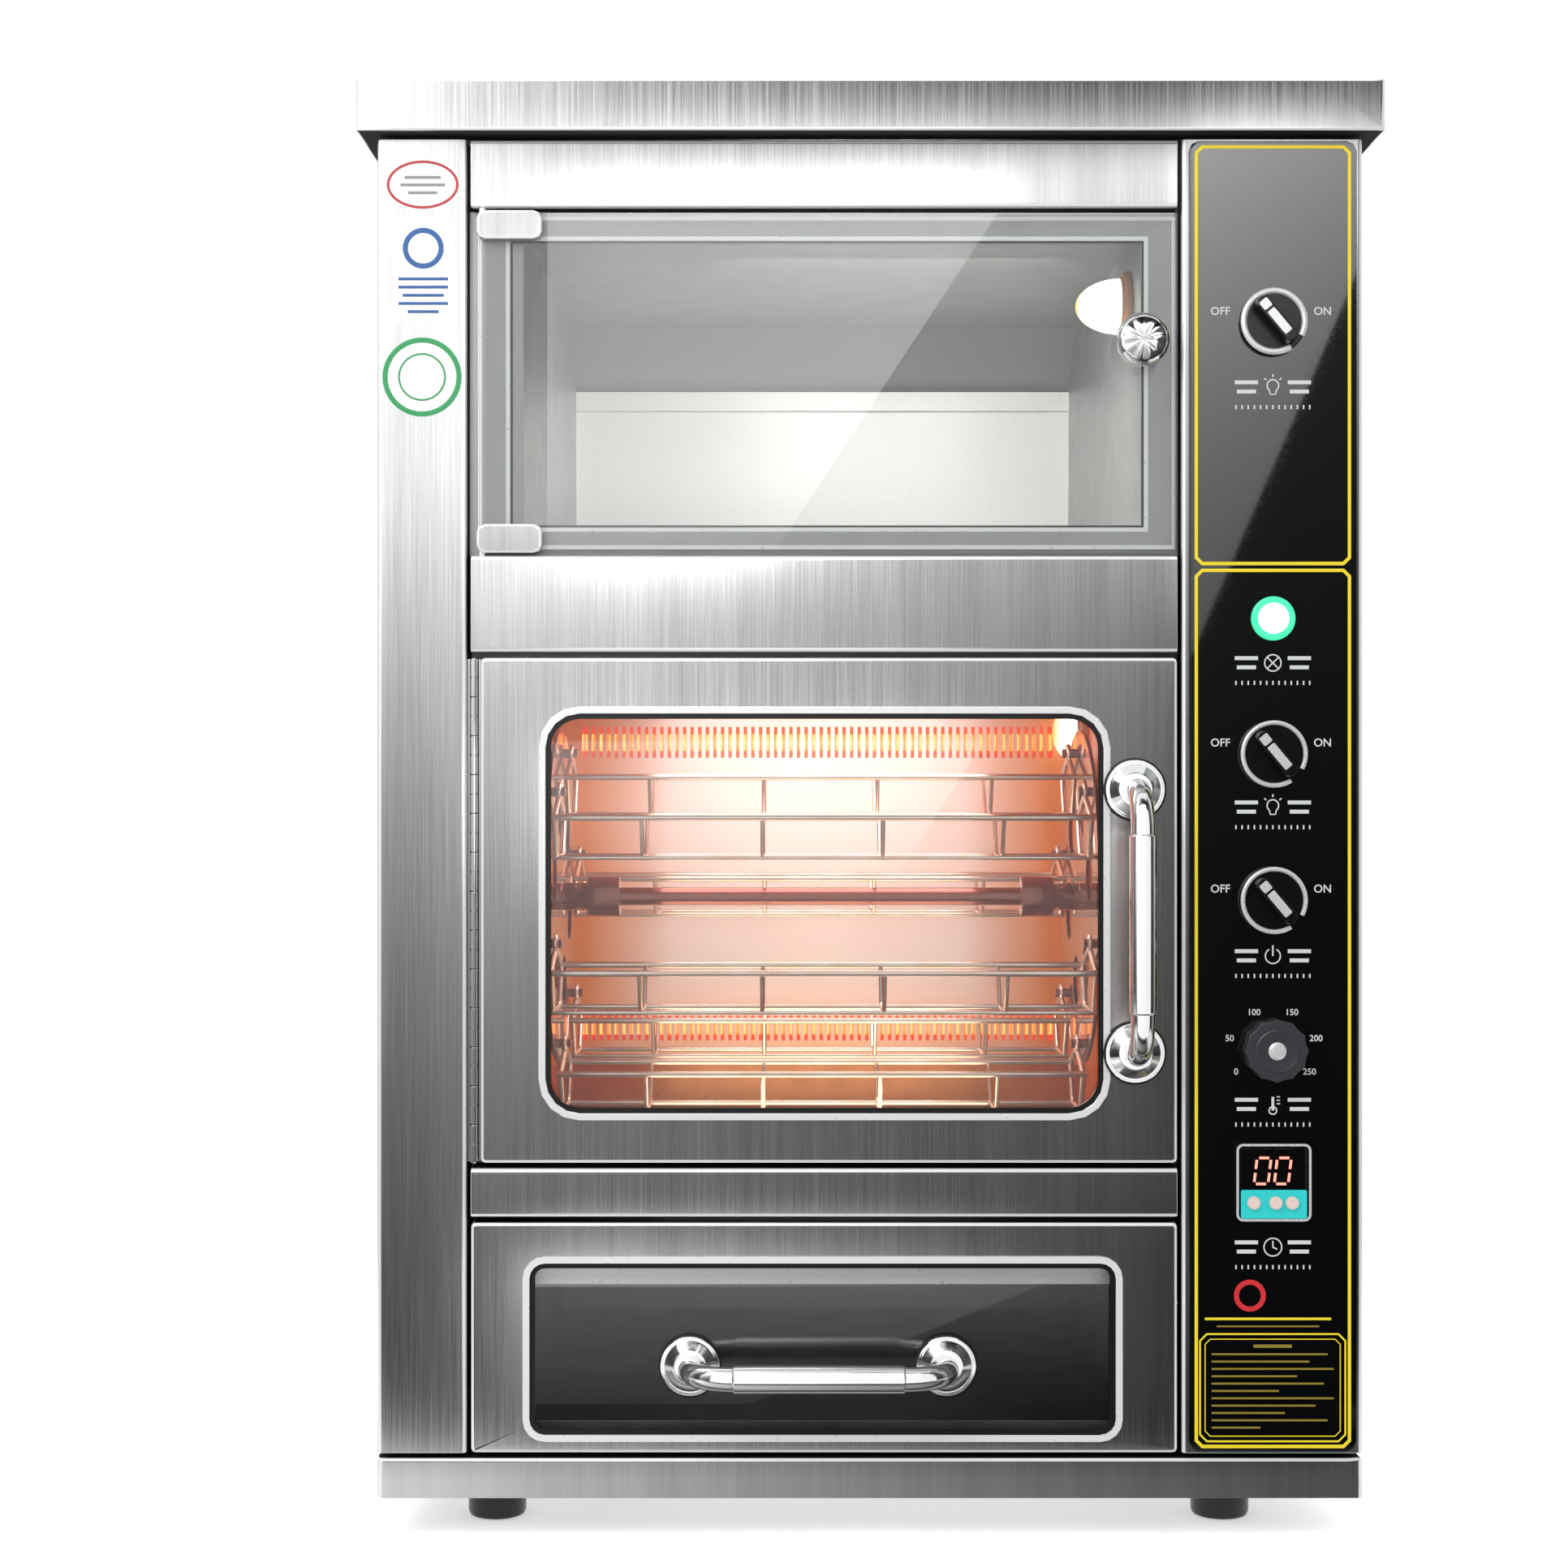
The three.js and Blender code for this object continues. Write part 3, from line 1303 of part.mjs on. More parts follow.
// One rail's section, drawn from the rib outwards, with its foot on the plinth
function railSection(rib_x, outward) {
  const near = rib_x - outward * (rib_depth - running_gap);
  const web = rib_x + outward * running_gap;
  const outside = web + outward * sheet;
  const [low, high] = [rib_z - running_gap, rib_z + rib_height + running_gap];
  const base = plinth_top + seat_gap;
  const points = [
    [outside + outward * cradle_foot, base],
    [web, base],
    [web, low - sheet],
    [near, low - sheet],
    [near, low],
    [web, low],
    [web, high],
    [near, high],
    [near, high + sheet],
    [outside, high + sheet],
    [outside, base + sheet],
    [outside + outward * cradle_foot, base + sheet],
  ];
  return outline(outward > 0 ? points.reverse() : points);
}

function drawerCradle() {
  const start = front + return_depth + seat_gap;
  const y = [start, start + body_depth - cradle_back_gap];
  const left = alongY(railSection(tray_x[0] - rib_depth, -1), y);
  const right = alongY(railSection(tray_x[1] + rib_depth, 1), y);
  const tie_x = [tray_x[0] - rib_depth, tray_x[1] + rib_depth];
  const tie_z = [plinth_top + seat_gap, plinth_top + seat_gap + sheet];
  const ties = [
    block(grown(tie_x, sheet), [y[0], y[0] + cradle_tie], tie_z),
    block(grown(tie_x, sheet), [y[1] - cradle_tie, y[1]], tie_z),
  ];
  return join(left, right, ...ties);
}

function drawerFront() {
  return framedFront(drawer_x, drawer_z, drawer_window_x, drawer_window_z, drawer_window_radius);
}

add("drawer_cradle", drawerCradle(), motor_steel);
add("drawer_front", drawerFront(), brushed_steel);
const drawer_pane = windowPane(drawer_window_x, drawer_window_z);
const drawer_studs = studHoles(drawer_handle_x, [drawer_handle_z], [front, pane_back]);
add("drawer_window", cut(drawer_pane, ...drawer_studs), clear_glass);
add("drawer_tray", drawerTray(), liner_steel);
const drawer_handle_length = drawer_handle_x[1] - drawer_handle_x[0];
const lying_handle = barHandle(drawer_handle_length, 0, pane_thickness).rotateX(quarter_turn);
const drawer_handle = add("drawer_handle", lying_handle, polished_steel);
drawer_handle.position.set(drawer_handle_x[0], front + sheet, drawer_handle_z);

// Controls: three pointer knobs, a scalloped thermostat knob, an indicator lamp and a timer
const panel_face = front - seat_gap - panel_thickness;
const knob_face_gap = 0.5;
const spindle_length = 12;
const pointer_base_radius = 19;
const pointer_base_height = 4;
const pointer_bar_width = 9;
const pointer_bar_length = 33;
const pointer_height = 15;
const pointer_bar_radius = 4;
const pointer_rest = 40; // degrees to the left of straight up
const scallop_radius = 18.5;
const scallop_depth = 1.2;
const scallop_count = 12;
const scallop_height = 14;

// Built round its own axis, which is Y, with the face of the panel at y = 0 and the front towards -Y
function pointerKnob() {
  const reach = [-pointer_base_height - knob_face_gap, -knob_face_gap];
  const base = alongY(circle(0, 0, pointer_base_radius, round_sides), reach);
  const bar_x = grown([0, 0], pointer_bar_width / 2);
  const bar_z = grown([0, 0], pointer_bar_length / 2);
  const bar_y = [-pointer_height, -pointer_base_height];
  const bar = alongY(roundedRect(bar_x, bar_z, pointer_bar_radius), bar_y);
  const stem = alongY(circle(0, 0, spindle_radius, pin_sides), [reach[0] / 2, spindle_length]);
  const turn = THREE.MathUtils.degToRad(-pointer_rest);
  return join(base, bar, stem).rotateY(turn);
}

function thermostatKnob() {
  const steps = 2 * scallop_count;
  const edge = Array.from({ length: steps }, (_, i) => {
    const angle = (2 * Math.PI * i) / steps;
    const radius = scallop_radius - (i % 2) * scallop_depth;
    return [radius * Math.cos(angle), radius * Math.sin(angle)];
  });
  const grip = alongY(outline(edge), [-scallop_height, -knob_face_gap]);
  const stem = alongY(circle(0, 0, spindle_radius, pin_sides), [-scallop_height / 2, spindle_length]);
  return join(grip, stem);
}

function addControl(name, geometry, z, finish) {
  add(name, geometry, finish).position.set(control_x, panel_face, z);
}

addControl("warmer_light_knob", pointerKnob(), warmer_light_z, black_plastic);
addControl("oven_light_knob", pointerKnob(), oven_light_z, black_plastic);
addControl("power_knob", pointerKnob(), power_z, black_plastic);
addControl("thermostat_knob", thermostatKnob(), thermostat_z, black_plastic);

const lamp_flange_radius = 12.5;
const lamp_flange_height = 2.5;
const lamp_lens_radius = 8;
const lamp_lens_height = 5;
const lamp_body_length = 18;

function indicatorLamp() {
  const profile = [
    [0, -lamp_body_length],
    [indicator_stem_radius, -lamp_body_length],
    [indicator_stem_radius, seat_gap],
    [lamp_flange_radius, seat_gap],
    [lamp_flange_radius, seat_gap + lamp_flange_height],
    [lamp_lens_radius, seat_gap + lamp_flange_height],
    [lamp_lens_radius / 2, seat_gap + lamp_lens_height],
    [0, seat_gap + lamp_lens_height],
  ];
  return revolve(profile, "front", round_sides);
}

addControl("indicator_lamp", indicatorLamp(), indicator_z, green_lens);

const timer_radius = 3;
const timer_face_height = 3;
const timer_body_depth = 20;
const timer_display_depth = 1;
const timer_display_margin = 3;
const timer_display_share = 0.62; // of the height, above the row of buttons
const button_radius = 4;
const button_height = 4.5;
const button_depth = 2.5; // of the wells the buttons slide in
const button_travel = 1;
const button_x = [-11.9, 0.9, 10.5];
const button_drop = 11.7; // below the middle of the timer

function timerModule() {
  const x = grown([0, 0], timer_width / 2);
  const z = grown([0, 0], timer_height / 2);
  const face_y = [-seat_gap - timer_face_height, -seat_gap];
  const body_inset = timer_rim + seat_gap;
  const body_x = inset(x, body_inset);
  const body_z = inset(z, body_inset);
  const face = alongY(roundedRect(x, z, timer_radius), face_y);
  const body = block(body_x, [-seat_gap - timer_face_height / 2, timer_body_depth], body_z);
  const display_top = z[1] - timer_display_margin;
  const display = block(
    inset(x, timer_display_margin),
    [face_y[0] - cut_over, face_y[0] + timer_display_depth],
    [display_top - (z[1] - z[0]) * timer_display_share + timer_display_margin, display_top],
  );
  const well_y = [face_y[0] - cut_over, face_y[0] + button_depth];
  const wells = button_x.map((u) =>
    alongY(clearCircle(u, -button_drop, button_radius + running_gap, small_sides), well_y),
  );
  return cut(join(face, body), display, ...wells);
}

function timerButton() {
  const bottom = button_depth - seat_gap - button_travel;
  const shape = circle(0, 0, button_radius, small_sides);
  return alongY(shape, [bottom - button_height, bottom]);
}

addControl("timer_module", timerModule(), timer_z, gloss_black);
button_x.forEach((u, i) => {
  const button = add(`timer_button_${i + 1}`, timerButton(), button_white);
  const face = panel_face - seat_gap - timer_face_height;
  button.position.set(control_x + u, face, timer_z - button_drop);
});

export default roaster;
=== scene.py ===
import bpy
import json
import math
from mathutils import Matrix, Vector


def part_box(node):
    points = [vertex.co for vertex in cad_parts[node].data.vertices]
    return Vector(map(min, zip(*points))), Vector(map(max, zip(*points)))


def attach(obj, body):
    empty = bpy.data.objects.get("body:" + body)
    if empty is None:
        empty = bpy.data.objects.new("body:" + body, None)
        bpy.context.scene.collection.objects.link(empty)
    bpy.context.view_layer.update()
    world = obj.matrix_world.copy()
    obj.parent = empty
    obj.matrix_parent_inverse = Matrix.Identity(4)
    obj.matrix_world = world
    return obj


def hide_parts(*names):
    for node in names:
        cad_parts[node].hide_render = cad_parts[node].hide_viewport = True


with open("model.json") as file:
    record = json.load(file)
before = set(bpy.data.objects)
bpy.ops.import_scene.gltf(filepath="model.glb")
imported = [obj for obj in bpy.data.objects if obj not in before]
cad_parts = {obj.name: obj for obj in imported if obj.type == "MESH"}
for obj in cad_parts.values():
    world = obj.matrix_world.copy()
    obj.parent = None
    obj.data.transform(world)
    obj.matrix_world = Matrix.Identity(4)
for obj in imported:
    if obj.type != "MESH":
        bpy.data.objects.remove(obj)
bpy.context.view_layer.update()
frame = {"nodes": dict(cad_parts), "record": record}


# Camera: straight at the front, its axis left of the roaster's middle, because the photograph is
# wider on that side. Near enough for the underside of the cap and the floors of the cavities to show.
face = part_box("left_column")[0].y
photo_width = 0.9193  # what the picture spans at the roaster's face
photo_middle_x, photo_middle_z = -0.0504, 0.4444
camera_distance = 1.5
sensor_width = 36
bpy.ops.object.select_all(action="DESELECT")
camera_place = (photo_middle_x, face - camera_distance, photo_middle_z)
bpy.ops.object.camera_add(location=camera_place, rotation=(math.pi / 2, 0, 0))
camera = bpy.context.active_object
camera.data.sensor_width = sensor_width
camera.data.lens = sensor_width * camera_distance / photo_width
bpy.context.scene.camera = camera
bpy.context.scene.view_settings.view_transform = "Standard"


def linear(hex_colour):
    """An sRGB hex colour as the linear red, green, blue and alpha that a shader takes."""
    parts = [int(hex_colour[i : i + 2], 16) / 255 for i in (1, 3, 5)]
    return [c / 12.92 if c <= 0.04045 else ((c + 0.055) / 1.055) ** 2.4 for c in parts] + [1]


def wire(node, inputs):
    """Gives a node's inputs values or links. A node that is given stands for its output in use."""
    for name, value in inputs.items():
        if isinstance(value, bpy.types.Node):
            value = next(output for output in value.outputs if output.enabled)
        if isinstance(value, bpy.types.NodeSocket):
            node.id_data.links.new(value, node.inputs[name])
        else:
            node.inputs[name].default_value = value


def add_node(tree, kind, inputs=None, **settings):
    """Adds a node, sets it up and wires its inputs."""
    node = tree.nodes.new("ShaderNode" + kind)
    for name, value in settings.items():
        setattr(node, name, value)
    wire(node, inputs or {})
    return node


# Studio: a white room that the camera, the steel and the glass see as white, with less light of its
# own, so that the lamps shape the roaster. A big soft lamp stands to the upper left.
world = bpy.data.worlds.new("studio")
bpy.context.scene.world = world
world.use_nodes = True
room = world.node_tree
room.nodes.clear()
ray = add_node(room, "LightPath")
seen = ray.outputs["Is Camera Ray"]
for kind in ("Is Glossy Ray", "Is Transmission Ray"):
    seen = add_node(room, "Math", {0: seen, 1: ray.outputs[kind]}, operation="MAXIMUM")
white = linear("#ffffff")
ambient = add_node(room, "Background", {"Color": white, "Strength": 0.6})
backdrop = add_node(room, "Background", {"Color": white, "Strength": 1})
either = add_node(room, "MixShader", {0: seen, 1: ambient, 2: backdrop})
add_node(room, "OutputWorld", {"Surface": either})


def soft_lamp(name, place, aim, size, watts, colour="#ffffff"):
    """A square lamp that shines from place towards aim, and isn't seen itself."""
    bpy.ops.object.light_add(type="AREA", location=place)
    lamp = bpy.context.active_object
    lamp.name = name
    lamp.rotation_euler = (Vector(aim) - Vector(place)).to_track_quat("-Z", "Y").to_euler()
    lamp.data.size = size
    lamp.data.energy = watts
    lamp.data.color = linear(colour)[:3]
    lamp.visible_camera = False
    lamp.visible_transmission = False
    return lamp


cabinet_middle = (0, 0, 0.45)
for name, place, watts in (
    ("key_lamp", (-1.5, -2.3, 2.2), 46),
    ("fill_lamp", (1.9, -1.8, 1.2), 10),
    ("rear_lamp", (0.9, 2.4, 1.9), 30),
):
    soft_lamp(name, place, cabinet_middle, 1.6, watts)


# Floor: pale paint that ends softly in the white room. The steel sees it darker in front of the right
# side, where the photographer's card lay.
bpy.ops.mesh.primitive_plane_add(size=6, location=(0, 0, 0))
floor = bpy.context.active_object
floor.name = "floor"
floor_paint = bpy.data.materials.new("white_floor")
floor_paint.use_nodes = True
tree = floor_paint.node_tree
tree.nodes.clear()
ray = add_node(tree, "LightPath")
where = add_node(tree, "TexCoord").outputs["Object"]
x, y, _ = add_node(tree, "SeparateXYZ", {0: where}).outputs
paint = add_node(tree, "BsdfDiffuse", {"Color": linear("#f4f4f4")})
shine = add_node(tree, "Emission", {"Color": white, "Strength": 0.45})
lit = add_node(tree, "AddShader", {0: paint, 1: shine})
fall = add_node(tree, "Math", {0: x, 1: -3.7, 2: -1.0}, operation="MULTIPLY_ADD")
fall = add_node(tree, "Math", {0: fall}, operation="EXPONENT")
beyond = add_node(tree, "MapRange", {0: y, 1: face - 0.17, 2: face - 0.22, 3: 1, 4: 0.1})
before = add_node(tree, "MapRange", {0: y, 1: face - 0.04, 2: face - 0.08, 3: 0.2, 4: 1})
for share in (beyond, before):
    fall = add_node(tree, "Math", {0: fall, 1: share}, operation="MULTIPLY")
in_front = add_node(tree, "MapRange", {0: y, 1: face + 0.01, 2: face - 0.01, 3: 0, 4: 1})
aside = add_node(tree, "Math", {0: x}, operation="ABSOLUTE")
near = add_node(tree, "MapRange", {0: aside, 1: 0.45, 2: 0.34, 3: 0, 4: 1})
carded = add_node(tree, "Math", {0: in_front, 1: near}, operation="MULTIPLY")
mirrored = add_node(tree, "Mix", {0: carded, 2: 0.8, 3: fall})
mirrored = add_node(tree, "Emission", {"Color": white, "Strength": mirrored})
look = add_node(tree, "MixShader", {0: ray.outputs["Is Camera Ray"], 1: paint, 2: lit})
look = add_node(tree, "MixShader", {0: ray.outputs["Is Glossy Ray"], 1: look, 2: mirrored})
far = add_node(tree, "VectorMath", {0: where}, operation="LENGTH")
fade = add_node(tree, "MapRange", {0: far, 1: 0.5, 2: 1.1, 3: 0, 4: 1}, interpolation_type="SMOOTHSTEP")
faded = add_node(tree, "MixShader", {0: fade, 1: look, 2: add_node(tree, "BsdfTransparent")})
add_node(tree, "OutputMaterial", {"Surface": faded})
floor.data.materials.append(floor_paint)


# Reflection cards: graded cards round the roaster that only shiny surfaces see. The front card is
# bright at the upper left and dark at the lower right, and its bright cut corners make the glares.
def glowing_card(name, strength):
    """A card's emission; strength(tree) builds the nodes that grade it by its place."""
    card_paint = bpy.data.materials.new(name)
    card_paint.use_nodes = True
    tree = card_paint.node_tree
    tree.nodes.clear()
    glow = add_node(tree, "Emission", {"Color": white, "Strength": strength(tree)})
    add_node(tree, "OutputMaterial", {"Surface": glow})
    return card_paint


def reflection_card(name, size, place, turn, card_paint):
    """Stands a square card up where only reflections find it."""
    bpy.ops.mesh.primitive_plane_add(size=size, location=place, rotation=turn)
    card = bpy.context.active_object
    card.name = name
    bpy.ops.object.transform_apply(location=True, rotation=True, scale=True)
    for seen_by in ("camera", "diffuse", "transmission", "volume_scatter", "shadow"):
        setattr(card, "visible_" + seen_by, False)
    card.data.materials.append(card_paint)


def front_strength(tree):
    """Falls off from the upper left. Each glare is the part of the card left of a slanting edge."""
    where = add_node(tree, "TexCoord").outputs["Object"]
    x, _, z = add_node(tree, "SeparateXYZ", {0: where}).outputs
    grade = add_node(tree, "VectorMath", {0: where, 1: (-2.7, 0, 4.51)}, operation="DOT_PRODUCT")
    grade = add_node(tree, "Math", {0: grade, 1: -3.13}, operation="ADD")
    grade = add_node(tree, "Math", {0: grade}, operation="EXPONENT")
    grade = add_node(tree, "Math", {0: grade, 1: 0.93, 2: 0.04}, operation="MULTIPLY_ADD")
    column_side = add_node(tree, "MapRange", {0: x, 1: -0.284, 2: -0.262, 3: 0.58, 4: 1})
    grade = add_node(tree, "Math", {0: grade, 1: column_side}, operation="MULTIPLY")
    grade = add_node(tree, "Math", {0: grade, 1: 1.25}, operation="MINIMUM")
    top = add_node(tree, "Math", {0: x, 1: -7.0, 2: -2.1}, operation="MULTIPLY_ADD")
    top = add_node(tree, "Math", {0: top}, operation="EXPONENT")
    above = add_node(tree, "MapRange", {0: z, 1: 0.9, 2: 0.915, 3: 0, 4: 1})
    grade = add_node(tree, "Mix", {0: above, 2: grade, 3: top})
    # the control panel's own glare, and the dark to the right of it
    slant = add_node(tree, "VectorMath", {0: where, 1: (1, 0, -0.439)}, operation="DOT_PRODUCT")
    right = add_node(tree, "Math", {0: slant, 1: 0.0042}, operation="GREATER_THAN")
    beside = add_node(tree, "Math", {0: x, 1: 0.2388}, operation="GREATER_THAN")
    under = add_node(tree, "Math", {0: z, 1: 0.904}, operation="LESS_THAN")
    on_panel = add_node(tree, "Math", {0: beside, 1: under}, operation="MULTIPLY")
    dim = add_node(tree, "MapRange", {0: right, 3: 2.4, 4: 0.2})
    dim = add_node(tree, "Mix", {0: on_panel, 2: 1.0, 3: dim})
    total = add_node(tree, "Math", {0: grade, 1: dim}, operation="MULTIPLY")
    glares = (  # slope and place of the edge, lower and upper end, left end, strength
        (0.657, -0.458, 0.6, 0.865, -0.22, 2.6),
        (0.64, -0.2113, 0.365, 0.475, -0.22, 1.5),
        (2.45, -0.0755, -0.03, 0.09, -0.235, 0.5),
    )
    for slope, edge, low, high, left, strength in glares:
        slant = add_node(tree, "VectorMath", {0: where, 1: (1, 0, -slope)}, operation="DOT_PRODUCT")
        glare = add_node(tree, "MapRange", {0: z, 1: low, 2: low + 0.06, 3: 0, 4: strength})
        for value, test, limit in ((slant, "LESS_THAN", edge), (z, "LESS_THAN", high), (x, "GREATER_THAN", left)):
            inside = add_node(tree, "Math", {0: value, 1: limit}, operation=test)
            glare = add_node(tree, "Math", {0: glare, 1: inside}, operation="MULTIPLY")
        total = add_node(tree, "Math", {0: total, 1: glare}, operation="ADD")
    # a low band that fades to the right, which the drawer's pane shows
    band = add_node(tree, "MapRange", {0: x, 1: -0.24, 2: 0.1, 3: 2.2, 4: 0})
    for value, test, limit in ((z, "GREATER_THAN", 0.084), (z, "LESS_THAN", 0.102), (x, "GREATER_THAN", -0.238)):
        inside = add_node(tree, "Math", {0: value, 1: limit}, operation=test)
        band = add_node(tree, "Math", {0: band, 1: inside}, operation="MULTIPLY")
    return add_node(tree, "Math", {0: total, 1: band}, operation="ADD")


def soft_strength(tree):
    """Bright at the top and greyer towards the floor, and dark in front, for the edges of round bars."""
    _, y, z = add_node(tree, "SeparateXYZ", {0: add_node(tree, "TexCoord").outputs["Object"]}).outputs
    grade = add_node(tree, "MapRange", {0: z, 1: 0.0, 2: 1.2, 3: 0.3, 4: 1.0})
    ahead = add_node(tree, "MapRange", {0: y, 1: -0.4, 2: -0.1, 3: 0.1, 4: 1})
    return add_node(tree, "Math", {0: grade, 1: ahead}, operation="MULTIPLY")


upright = math.pi / 2
front_place = (0, face - 0.33, 0.68)
reflection_card("front_card", 1.6, front_place, (upright, 0, 0), glowing_card("front_card", front_strength))
soft_card = glowing_card("soft_card", soft_strength)
for name, place, turn in (
    ("left_card", (-1.3, 0.2, 1.0), (upright, 0, upright)),
    ("right_card", (1.3, 0.2, 1.0), (upright, 0, upright)),
    ("rear_card", (0, 1.4, 1.0), (upright, 0, 0)),
):
    reflection_card(name, 2.4, place, turn, soft_card)


# Base plinth: a folded pan of 1.5 mm stainless steel, 304 grade with a hairline finish, bent on a
# press brake. The hairlines run upright, and its bends and edges are painted white as highlights.
def new_material(name, colour, roughness, metallic=0.0):
    """A Principled material; returns the material, its tree and its shader."""
    material = bpy.data.materials.new(name)
    material.use_nodes = True
    shader = material.node_tree.nodes["Principled BSDF"]
    wire(shader, {"Base Color": linear(colour), "Roughness": roughness, "Metallic": metallic})
    return material, material.node_tree, shader


def hairline_steel(name, pale, dark, smooth, rough):
    """Stainless steel with upright hairlines; on level faces they run from left to right.
    Real hairlines are 0.1 mm apart: these are drawn coarser, or they would not show."""
    hairline, streak = 0.0009, 0.012
    material, tree, shader = new_material(name, pale, smooth, metallic=1.0)
    where = add_node(tree, "TexCoord")
    slopes = add_node(tree, "SeparateXYZ", {0: where.outputs["Normal"]}).outputs
    flat = [add_node(tree, "Math", {0: slope}, operation="ABSOLUTE") for slope in slopes]
    level = add_node(tree, "Math", {0: flat[2], 1: 0.7}, operation="GREATER_THAN")
    most = add_node(tree, "Math", {0: flat[0], 1: flat[1]}, operation="MAXIMUM")
    most = add_node(tree, "Math", {0: most, 1: flat[2]}, operation="MAXIMUM")
    bend = add_node(tree, "MapRange", {0: most, 1: 0.998, 2: 0.965, 3: 0, 4: 1})

    def lines(spacing, length):
        thin, long = 1 / spacing, 1 / length
        standing = add_node(tree, "Mapping", {0: where.outputs["Object"], 3: (thin, thin, long)})
        lying = add_node(tree, "Mapping", {0: where.outputs["Object"], 3: (long, thin, thin)})
        way = add_node(tree, "Mix", {0: level, 4: standing, 5: lying}, data_type="VECTOR")
        return add_node(tree, "TexNoise", {"Vector": way, "Scale": 1, "Detail": 3, "Roughness": 0.6})

    fine = lines(hairline, 0.09)
    both = add_node(tree, "Math", {0: fine, 1: lines(streak, 2.5)}, operation="ADD")
    grey = add_node(tree, "MapRange", {0: both, 1: 0.72, 2: 1.28, 3: 0, 4: 1})
    tone = add_node(tree, "Mix", {0: grey, 6: linear(dark), 7: linear(pale)}, data_type="RGBA")
    # painted highlight: faces on rounded edges turn near white and lose most of their metal, so they read as bright
    # lines from any side
    tone = add_node(tree, "Mix", {0: bend, 6: tone, 7: linear("#fdfdfd")}, data_type="RGBA")
    gloss = add_node(tree, "MapRange", {0: fine, 1: 0.3, 2: 0.7, 3: smooth, 4: rough})
    highlight_metallic = add_node(tree, "MapRange", {0: bend, 3: 1.0, 4: 0.3})
    bump = add_node(tree, "Bump", {"Strength": 0.12, "Distance": 0.00005, "Height": fine})
    wire(shader, {"Base Color": tone, "Roughness": gloss, "Metallic": highlight_metallic, "Normal": bump})
    return material


outer_steel = hairline_steel("hairline_stainless_steel", "#e0e1e2", "#cbccce", 0.18, 0.27)


def select_only(piece):
    bpy.ops.object.select_all(action="DESELECT")
    piece.select_set(True)
    bpy.context.view_layer.objects.active = piece


def copy_of(node):
    """A copy of a CAD node as one clean shell: shared corners merged, needless ones gone."""
    mesh = frame["nodes"][node].data.copy()
    mesh.materials.clear()
    piece = bpy.data.objects.new(node + "_finished", mesh)
    bpy.context.scene.collection.objects.link(piece)
    select_only(piece)
    bpy.ops.object.mode_set(mode="EDIT")
    bpy.ops.mesh.select_all(action="SELECT")
    bpy.ops.mesh.remove_doubles(threshold=0.00001)
    bpy.ops.mesh.dissolve_limited(angle_limit=math.radians(0.5))
    bpy.ops.mesh.quads_convert_to_tris(quad_method="BEAUTY", ngon_method="BEAUTY")
    bpy.ops.object.mode_set(mode="OBJECT")
    return piece


def roll_edges(piece, width, wanted):
    """Rounds the sharp edges whose two ends make wanted(first, second) true."""
    select_only(piece)
    bpy.ops.object.mode_set(mode="EDIT")
    bpy.ops.mesh.select_mode(type="EDGE")
    bpy.ops.mesh.select_all(action="DESELECT")
    bpy.ops.mesh.edges_select_sharp(sharpness=math.radians(30))
    bpy.ops.object.mode_set(mode="OBJECT")
    for edge in piece.data.edges:
        first, second = (piece.data.vertices[i].co for i in edge.vertices)
        edge.select = edge.select and wanted(first, second)
    bpy.ops.object.mode_set(mode="EDIT")
    bpy.ops.mesh.bevel(offset=width, segments=4, affect="EDGES")
    bpy.ops.object.mode_set(mode="OBJECT")
    return piece


def round_edges(piece, width, steps=2, sharper_than=30, smooth_below=40):
    """Rounds all the piece's sharp edges and shades what is left of them smooth."""
    bevel = piece.modifiers.new("edges", "BEVEL")
    bevel.width = width
    bevel.segments = steps
    bevel.limit_method = "ANGLE"
    bevel.angle_limit = math.radians(sharper_than)
    select_only(piece)
    bpy.ops.object.modifier_apply(modifier="edges")
    bpy.ops.object.shade_smooth_by_angle(angle=math.radians(smooth_below))
    even = piece.modifiers.new("flats", "WEIGHTED_NORMAL")
    even.keep_sharp = True
    bpy.ops.object.modifier_apply(modifier="flats")
    return piece


def fit(piece, material, slot, body, *nodes):
    """Gives a finished piece its material and its place in the frame."""
    piece.data.materials.clear()
    piece.data.materials.append(material)
    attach(piece, body)
    if nodes:
        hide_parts(*nodes)
    return piece


def paint_faces(piece, material, wanted):
    """Gives the faces that make wanted(face) true a second material."""
    piece.data.materials.append(material)
    for polygon in piece.data.polygons:
        if wanted(polygon):
            polygon.material_index = len(piece.data.materials) - 1


touching = 0.0001  # places that are nearer than this are the same


def on_side(point, low, high):
    """True for a point on one of the four upright sides of a box."""
    return min(abs(point[i] - side[i]) for side in (low, high) for i in (0, 1)) < touching


# painted shade: a black sheet with a fine weave bump, laid on faces inside the seams and under the cap, where only
# shade falls
seam_shade, tree, shader = new_material("painted_seam_shade", "#0a0a0b", 0.8)
weave = add_node(tree, "TexNoise", {"Vector": add_node(tree, "TexCoord").outputs["Object"], "Scale": 900})
wire(shader, {"Normal": add_node(tree, "Bump", {"Strength": 0.3, "Distance": 0.0001, "Height": weave})})

plinth_low, plinth_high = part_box("base_plinth")
plinth = roll_edges(
    copy_of("base_plinth"),
    0.0022,
    lambda a, b: on_side(a, plinth_low, plinth_high)
    and on_side(b, plinth_low, plinth_high)
    and max(a.z, b.z) > plinth_high.z - touching,
)
fit(round_edges(plinth, 0.0007, 3, sharper_than=50), outer_steel, "brushed_steel", "cabinet", "base_plinth")
# painted shade: the plinth's top fold, seen through the seam above it, is painted black
paint_faces(plinth, seam_shade, lambda side: side.normal.z > 0.9 and side.center.z > plinth_high.z - touching)


